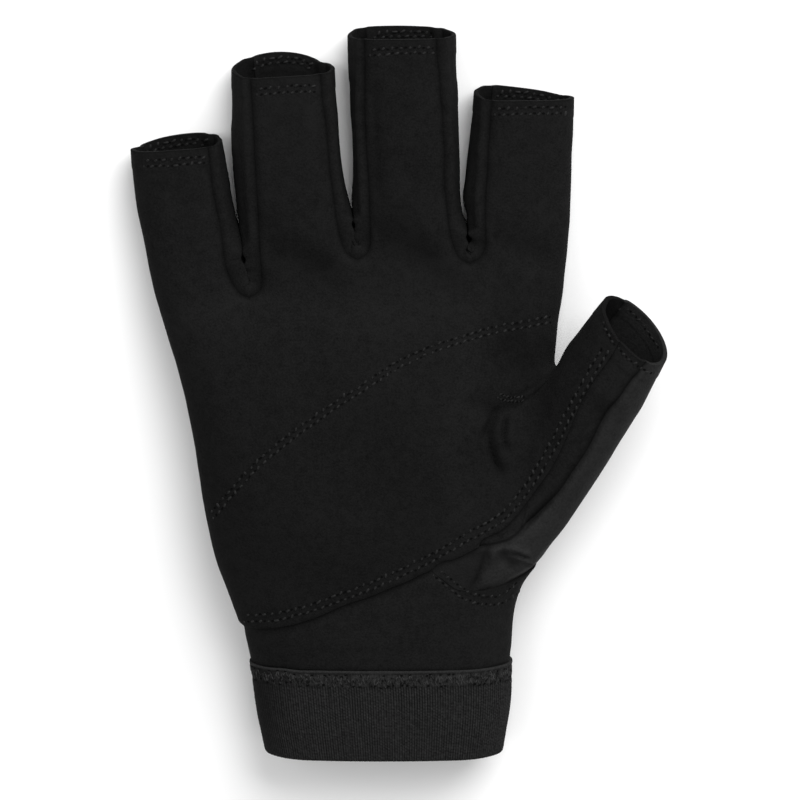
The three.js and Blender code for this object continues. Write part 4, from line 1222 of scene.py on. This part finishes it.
def set_inputs(tree, node, inputs):
    """Links or sets a node's inputs, by their names or numbers."""
    for key, value in inputs.items():
        if isinstance(value, bpy.types.NodeSocket):
            tree.links.new(value, node.inputs[key])
        else:
            node.inputs[key].default_value = value


def add(tree, kind, inputs, **settings):
    """Adds a node with its settings and inputs."""
    made = tree.nodes.new(kind)
    for key, value in settings.items():
        setattr(made, key, value)
    set_inputs(tree, made, inputs)
    return made


def new_material(name):
    """A material with its node tree and its shader."""
    material = bpy.data.materials.new(name)
    material.use_nodes = True
    return material, material.node_tree, material.node_tree.nodes["Principled BSDF"]


def cloth(name, dark, light, nap, relief, gloss, rough):
    """A matt cloth whose colour varies with its nap or knit, in grains of a size in millimetres.

    The grains of the real cloths, about 0.1 to 0.3 mm, are too fine to show, so they are drawn as about 0.5.
    The piece's attribute "tone" scales its colour with painted shade in folds, along seams, inside and in
    broad patches, and with broad painted light in a few places.
    """
    if name in bpy.data.materials:
        return bpy.data.materials[name]
    material, tree, shader = new_material(name)
    place = add(tree, "ShaderNodeTexCoord", {}).outputs["Object"]
    lumps = []
    for size, detail, share in ((nap, 2.0, 0.7), (nap * 5, 3.0, 0.6), (CLOUD, 2.0, 0.5)):
        inputs = {"Vector": place, "Scale": 1000 / size, "Detail": detail, "Roughness": share}
        lumps.append(add(tree, "ShaderNodeTexNoise", inputs).outputs["Fac"])
    grain, soft, cloud = lumps
    fine = add(tree, "ShaderNodeMath", {0: grain, 1: 1.9}, operation="MULTIPLY").outputs[0]
    slow = add(tree, "ShaderNodeMath", {0: cloud, 1: 0.6}, operation="MULTIPLY").outputs[0]
    both = add(tree, "ShaderNodeMath", {0: fine, 1: soft}, operation="ADD").outputs[0]
    total = add(tree, "ShaderNodeMath", {0: both, 1: slow}, operation="ADD").outputs[0]
    shade = add(tree, "ShaderNodeMapRange", {"Value": total, "From Min": 1.15, "From Max": 2.05})
    mixed = add(
        tree, "ShaderNodeMix", {"Factor": shade.outputs["Result"], "A": dark, "B": light}, data_type="RGBA"
    )
    # painted shade and light: the colour scaled by the piece's tone
    tone = add(tree, "ShaderNodeAttribute", {}, attribute_name="tone")
    dull = add(
        tree, "ShaderNodeVectorMath", {0: mixed.outputs["Result"], "Scale": tone.outputs["Fac"]},
        operation="SCALE",
    )
    raised = add(tree, "ShaderNodeBump", {"Height": grain, "Strength": relief, "Distance": nap * MM / 2})
    set_inputs(tree, shader, {
        "Base Color": dull.outputs["Vector"], "Normal": raised.outputs["Normal"],
        "Roughness": rough, "Specular IOR Level": gloss,
    })
    return material


def suede():
    """Synthetic suede: its short nap swallows the light, so it is matt, with lighter and darker flecks."""
    return cloth("synthetic suede", colours().suede_dark, colours().suede_light, 0.5, 0.5, 0.06, 0.95)


def jersey():
    """Polyester jersey: a fine even knit, a little smoother than the suede."""
    return cloth("polyester jersey", colours().jersey_dark, colours().jersey_light, 0.55, 0.45, 0.07, 0.9)


def stretch_jersey():
    """Elastane jersey: smoother yarn that gives back a soft light where the thumb's side turns to it."""
    return cloth("elastane jersey", colours().stretch_dark, colours().stretch_light, 0.6, 0.5, 0.12, 0.8)


def webbing():
    """Ribbed elastic: lighter polyester ribs with dark rubber showing in the grooves.

    The attribute "rib" says how high the weave stands, with painted shade toward the left side and a painted
    highlight along the upper edge. Its yarn, about 0.2 mm, is drawn as 0.5 mm flecks.
    """
    name = "ribbed elastic"
    if name in bpy.data.materials:
        return bpy.data.materials[name]
    material, tree, shader = new_material(name)
    rib = add(tree, "ShaderNodeAttribute", {}, attribute_name="rib").outputs["Fac"]
    place = add(tree, "ShaderNodeTexCoord", {}).outputs["Object"]
    inputs = {"Vector": place, "Scale": 1000 / 0.5, "Detail": 2.0, "Roughness": 0.7}
    yarn = add(tree, "ShaderNodeTexNoise", inputs).outputs["Fac"]
    fleck = add(
        tree, "ShaderNodeMapRange", {"Value": yarn, "From Min": 0.3, "From Max": 0.7, "To Min": 0.5}
    ).outputs["Result"]
    share = add(tree, "ShaderNodeMath", {0: rib, 1: fleck}, operation="MULTIPLY").outputs[0]
    inputs = {"Factor": share, "A": colours().elastic_dark, "B": colours().elastic_light}
    mixed = add(tree, "ShaderNodeMix", inputs, data_type="RGBA")
    raised = add(tree, "ShaderNodeBump", {"Height": yarn, "Strength": 0.5, "Distance": 0.2 * MM})
    set_inputs(tree, shader, {
        "Base Color": mixed.outputs["Result"], "Normal": raised.outputs["Normal"],
        "Roughness": 0.8, "Specular IOR Level": 0.05,
    })
    return material


def twisted_thread(name, dark, light, twist, spread, rough, gloss):
    """A thread whose colour changes along it, in lengths of a size in millimetres."""
    if name in bpy.data.materials:
        return bpy.data.materials[name]
    material, tree, shader = new_material(name)
    place = add(tree, "ShaderNodeTexCoord", {}).outputs["Object"]
    turns = add(tree, "ShaderNodeTexNoise", {"Vector": place, "Scale": 1000 / twist, "Detail": 2.0})
    inputs = {"Value": turns.outputs["Fac"], "From Min": 0.5 - spread, "From Max": 0.5 + spread}
    worn = add(tree, "ShaderNodeMapRange", inputs).outputs["Result"]
    mixed = add(tree, "ShaderNodeMix", {"Factor": worn, "A": dark, "B": light}, data_type="RGBA")
    set_inputs(tree, shader, {
        "Base Color": mixed.outputs["Result"], "Roughness": rough, "Specular IOR Level": gloss,
    })
    return material


def sewing_thread():
    """Polyester sewing thread: a little shiny, so each stitch shows as a light fleck on the matt cloth."""
    return twisted_thread(
        "polyester thread", colours().jersey_light, colours().thread, 1.6, 0.15, 0.6, 0.12
    )


def elastic_thread():
    """The thread that holds the cuff, dull and nearly as dark as the elastic."""
    return twisted_thread(
        "dull thread", colours().elastic_dark, colours().elastic_light, 1.2, 0.1, 0.8, 0.1
    )


def hole_material():
    """The hollow round the thread, where no light gets in."""
    name = "needle hole"
    if name in bpy.data.materials:
        return bpy.data.materials[name]
    material, tree, shader = new_material(name)
    set_inputs(tree, shader, {"Base Color": colours().hole, "Roughness": 1.0, "Specular IOR Level": 0.0})
    return material


MATERIALS = {
    "palm_suede": suede,
    "finger_suede": suede,
    "jersey": jersey,
    "light_jersey": stretch_jersey,
    "cuff_webbing": webbing,
}


def finish_piece(obj, nodes, materials):
    """Gives a piece its materials and smooth shading, and tells the frame what it is."""
    for material in materials:
        obj.data.materials.append(material)
    only(obj)
    bpy.ops.object.shade_smooth_by_angle(angle=math.radians(50))
    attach(obj, "root")
    if nodes:
        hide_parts(*nodes)


# The operators


class GLOVE_OT_skin(bpy.types.Operator):
    """Sew the outer faces of the pattern pieces into one smooth skin"""

    bl_idname = "glove.skin"
    bl_label = "Skin"

    def execute(self, context):
        rough = sew_skin()
        skin = subdivided(rough, sizes().levels)
        mesh = skin.data
        mesh.name = "skin"
        round_forks(mesh)
        points = vertices_of(mesh)
        for kind, line in seam_points(mesh).items():
            layer = mesh.attributes.new("from_" + kind, "FLOAT", "POINT")
            layer.data.foreach_set("value", distance_to(points, line).astype(np.float32))
        bpy.data.objects.remove(rough)
        bpy.data.objects.remove(skin)
        return {"FINISHED"}


class GLOVE_OT_palm(bpy.types.Operator):
    """Sew the suede palm with its thumb side"""

    bl_idname = "glove.palm"
    bl_label = "Palm"

    def execute(self, context):
        sew_panel("palm_panel", 1.0)
        return {"FINISHED"}


class GLOVE_OT_back(bpy.types.Operator):
    """Sew the jersey back of the hand and the wrist panel"""

    bl_idname = "glove.back"
    bl_label = "Back and wrist"

    def execute(self, context):
        sew_panel("back_panel", 1.0)
        sew_panel("wrist_panel", 1.0)
        return {"FINISHED"}


class GLOVE_OT_fourchettes(bpy.types.Operator):
    """Sew the strips between the fingers"""

    bl_idname = "glove.fourchettes"
    bl_label = "Fourchettes"

    def execute(self, context):
        for name in FOURCHETTES:
            sew_panel(name, STRIP_CLOTH)
        return {"FINISHED"}


class GLOVE_OT_thumb(bpy.types.Operator):
    """Sew the strip and the back of the thumb"""

    bl_idname = "glove.thumb"
    bl_label = "Thumb"

    def execute(self, context):
        sew_panel("thumb_strip", STRIP_CLOTH, finer=True)
        sew_panel("thumb_back", 1.0, finer=True)
        return {"FINISHED"}


class GLOVE_OT_cuff(bpy.types.Operator):
    """Weave the ribbed elastic cuff"""

    bl_idname = "glove.cuff"
    bl_label = "Cuff"

    def execute(self, context):
        columns = sizes().ribs * CUFF_CELLS
        bpy.ops.object.select_all(action="DESELECT")
        bpy.ops.mesh.primitive_grid_add(x_subdivisions=columns, y_subdivisions=CUFF_LINES, size=1)
        obj = context.active_object
        obj.name = "cuff_band_cloth"
        mesh = obj.data
        flat = vertices_of(mesh)
        placed, way, high = cuff_surface(flat[:, 0] + 0.5, 0.5 - flat[:, 1])
        mesh.vertices.foreach_set("co", placed.astype(np.float32).ravel())
        layer = mesh.attributes.new("rib", "FLOAT", "POINT")
        layer.data.foreach_set("value", high.astype(np.float32))
        mesh.update()
        first = mesh.polygons[0]
        outward = Vector(way[first.vertices[0]])
        bpy.ops.object.mode_set(mode="EDIT")
        bpy.ops.mesh.select_all(action="SELECT")
        if first.normal.dot(outward) < 0:
            bpy.ops.mesh.flip_normals()
        bpy.ops.mesh.remove_doubles(threshold=1e-6)
        bpy.ops.object.mode_set(mode="OBJECT")
        share = np.ones(len(mesh.vertices))
        bevel_rims(obj, thicken(obj, sizes().elastic), share)
        finish_piece(obj, ["cuff_band"], [webbing()])
        return {"FINISHED"}


class GLOVE_OT_stitches(bpy.types.Operator):
    """Sew the rows of stitches on the palm, the thumb and the hems"""

    bl_idname = "glove.stitches"
    bl_label = "Stitches"

    def execute(self, context):
        tree = sewn_surface()
        stitch, hole = model_stitch(sizes().thread, sewing_thread()), model_hole()
        for row in ROWS:
            stitches, holes = row_places(tree, row)
            if not stitches:
                raise RuntimeError(f"no cloth under the stitches of {row['name']}")
            whole = joined(copies_of(stitch, stitches) + copies_of(hole, holes), row["name"] + "_stitches")
            finish_piece(whole, [], [])
        bpy.data.objects.remove(stitch)
        bpy.data.objects.remove(hole)
        return {"FINISHED"}


class GLOVE_OT_cuff_stitches(bpy.types.Operator):
    """Sew the crossing threads that hold the cuff"""

    bl_idname = "glove.cuff_stitches"
    bl_label = "Cuff stitches"

    def execute(self, context):
        stitch, hole = model_stitch(CROSSING_WIDTH * MM, elastic_thread()), model_hole()
        points, normals, away, faces = skin_of("cuff_band")
        tall = away["cuff"].max()
        steps = np.arange(CROSSINGS * 2)
        threads, holes = [], []
        for turn in (0, 1):
            slip = np.array([noise.noise(Vector((step * 0.83, turn * 7.1, 3.3))) for step in steps])
            sink = np.array([noise.noise(Vector((step * 0.61, turn * 5.9, 8.7))) for step in steps])
            across = ((steps + turn + 1.1 * slip) / (2 * CROSSINGS)) % 1
            down = (np.where(steps % 2 == 0, *CROSSING_ENDS) + 1.2 * sink) / tall
            placed, way, high = cuff_surface(across, down)
            for i in steps:
                after = (i + 1) % len(steps)
                here, there = Vector(placed[i]), Vector(placed[after])
                up = (Vector(way[i]) + Vector(way[after])).normalized()
                lift = up * 0.02 * MM
                long = (there - here).length / sizes().stitch
                threads.append(standing((here + there) / 2 + lift, up, there - here, 0.0, long))
                if slip[i] > 0.05:
                    dent = here + Vector(way[i]) * 0.06 * MM
                    holes.append(standing(dent, Vector(way[i]), Vector((1, 0, 0)), slip[i], 0.9))
        whole = joined(copies_of(stitch, threads) + copies_of(hole, holes), "cuff_stitches")
        finish_piece(whole, [], [])
        bpy.data.objects.remove(stitch)
        bpy.data.objects.remove(hole)
        return {"FINISHED"}


class GLOVE_OT_stage(bpy.types.Operator):
    """Set up the floor, the light and the camera"""

    bl_idname = "glove.stage"
    bl_label = "Stage"

    def execute(self, context):
        scene = context.scene
        bpy.ops.object.select_all(action="DESELECT")
        bpy.ops.mesh.primitive_plane_add(size=FLOOR, location=(0, 0, 0))
        floor = context.active_object
        floor.name = "floor"
        material, tree, shader = new_material("white paper")
        set_inputs(tree, shader, {"Base Color": linear("#f6f6f6"), "Roughness": 0.9})
        floor.data.materials.append(material)
        world = bpy.data.worlds.new("studio")
        world.use_nodes = True
        sky = world.node_tree.nodes["Background"]
        set_inputs(world.node_tree, sky, {"Color": linear("#ffffff"), "Strength": SKY_STRENGTH})
        scene.world = world
        for name, lamp in LAMPS.items():
            area = bpy.data.lights.new(name, "AREA")
            area.size = lamp["wide"]
            area.energy = lamp["power"]
            light = new_object(name, area)
            light.location = lamp["place"]
            light.rotation_euler = (-Vector(lamp["place"])).to_track_quat("-Z", "Y").to_euler()
        camera = bpy.data.cameras.new("camera")
        camera.sensor_width = SENSOR
        camera.lens = SENSOR * DISTANCE / (FRAME_DOTS * DOT)
        camera.clip_start = 0.05
        camera.clip_end = 20
        view = new_object("camera", camera)
        aim = on_plane(FRAME_DOTS / 2, FRAME_DOTS / 2)
        direction = (aim - eye()).normalized()
        right = Vector((1, 0, 0))
        right = (right - direction * right.dot(direction)).normalized()
        up = right.cross(direction)
        turn = Matrix((right, up, -direction)).transposed().to_4x4()
        view.matrix_world = Matrix.Translation(eye()) @ turn
        scene.camera = view
        scene.view_settings.view_transform = "Standard"
        return {"FINISHED"}


OPERATORS = (
    GLOVE_OT_skin,
    GLOVE_OT_palm,
    GLOVE_OT_back,
    GLOVE_OT_fourchettes,
    GLOVE_OT_thumb,
    GLOVE_OT_cuff,
    GLOVE_OT_stitches,
    GLOVE_OT_cuff_stitches,
    GLOVE_OT_stage,
)


class GLOVE_PT_glove(bpy.types.Panel):
    bl_label = "Glove"
    bl_space_type = "VIEW_3D"
    bl_region_type = "UI"
    bl_category = "Glove"

    def draw(self, context):
        for one in OPERATORS:
            self.layout.operator(one.bl_idname)
        for group in (context.scene.glove_sizes, context.scene.glove_colours):
            for key in group.__annotations__:
                self.layout.prop(group, key)


def register():
    for one in (GloveSizes, GloveColours, *OPERATORS, GLOVE_PT_glove):
        bpy.utils.register_class(one)
    bpy.types.Scene.glove_sizes = PointerProperty(type=GloveSizes)
    bpy.types.Scene.glove_colours = PointerProperty(type=GloveColours)


def unregister():
    del bpy.types.Scene.glove_colours
    del bpy.types.Scene.glove_sizes
    for one in (GLOVE_PT_glove, *reversed(OPERATORS), GloveColours, GloveSizes):
        bpy.utils.unregister_class(one)


def main():
    register()
    bpy.ops.glove.skin()
    bpy.ops.glove.palm()
    bpy.ops.glove.back()
    bpy.ops.glove.fourchettes()
    bpy.ops.glove.thumb()
    bpy.ops.glove.cuff()
    bpy.ops.glove.stitches()
    bpy.ops.glove.cuff_stitches()
    bpy.ops.glove.stage()


if __name__ == "__main__":
    main()
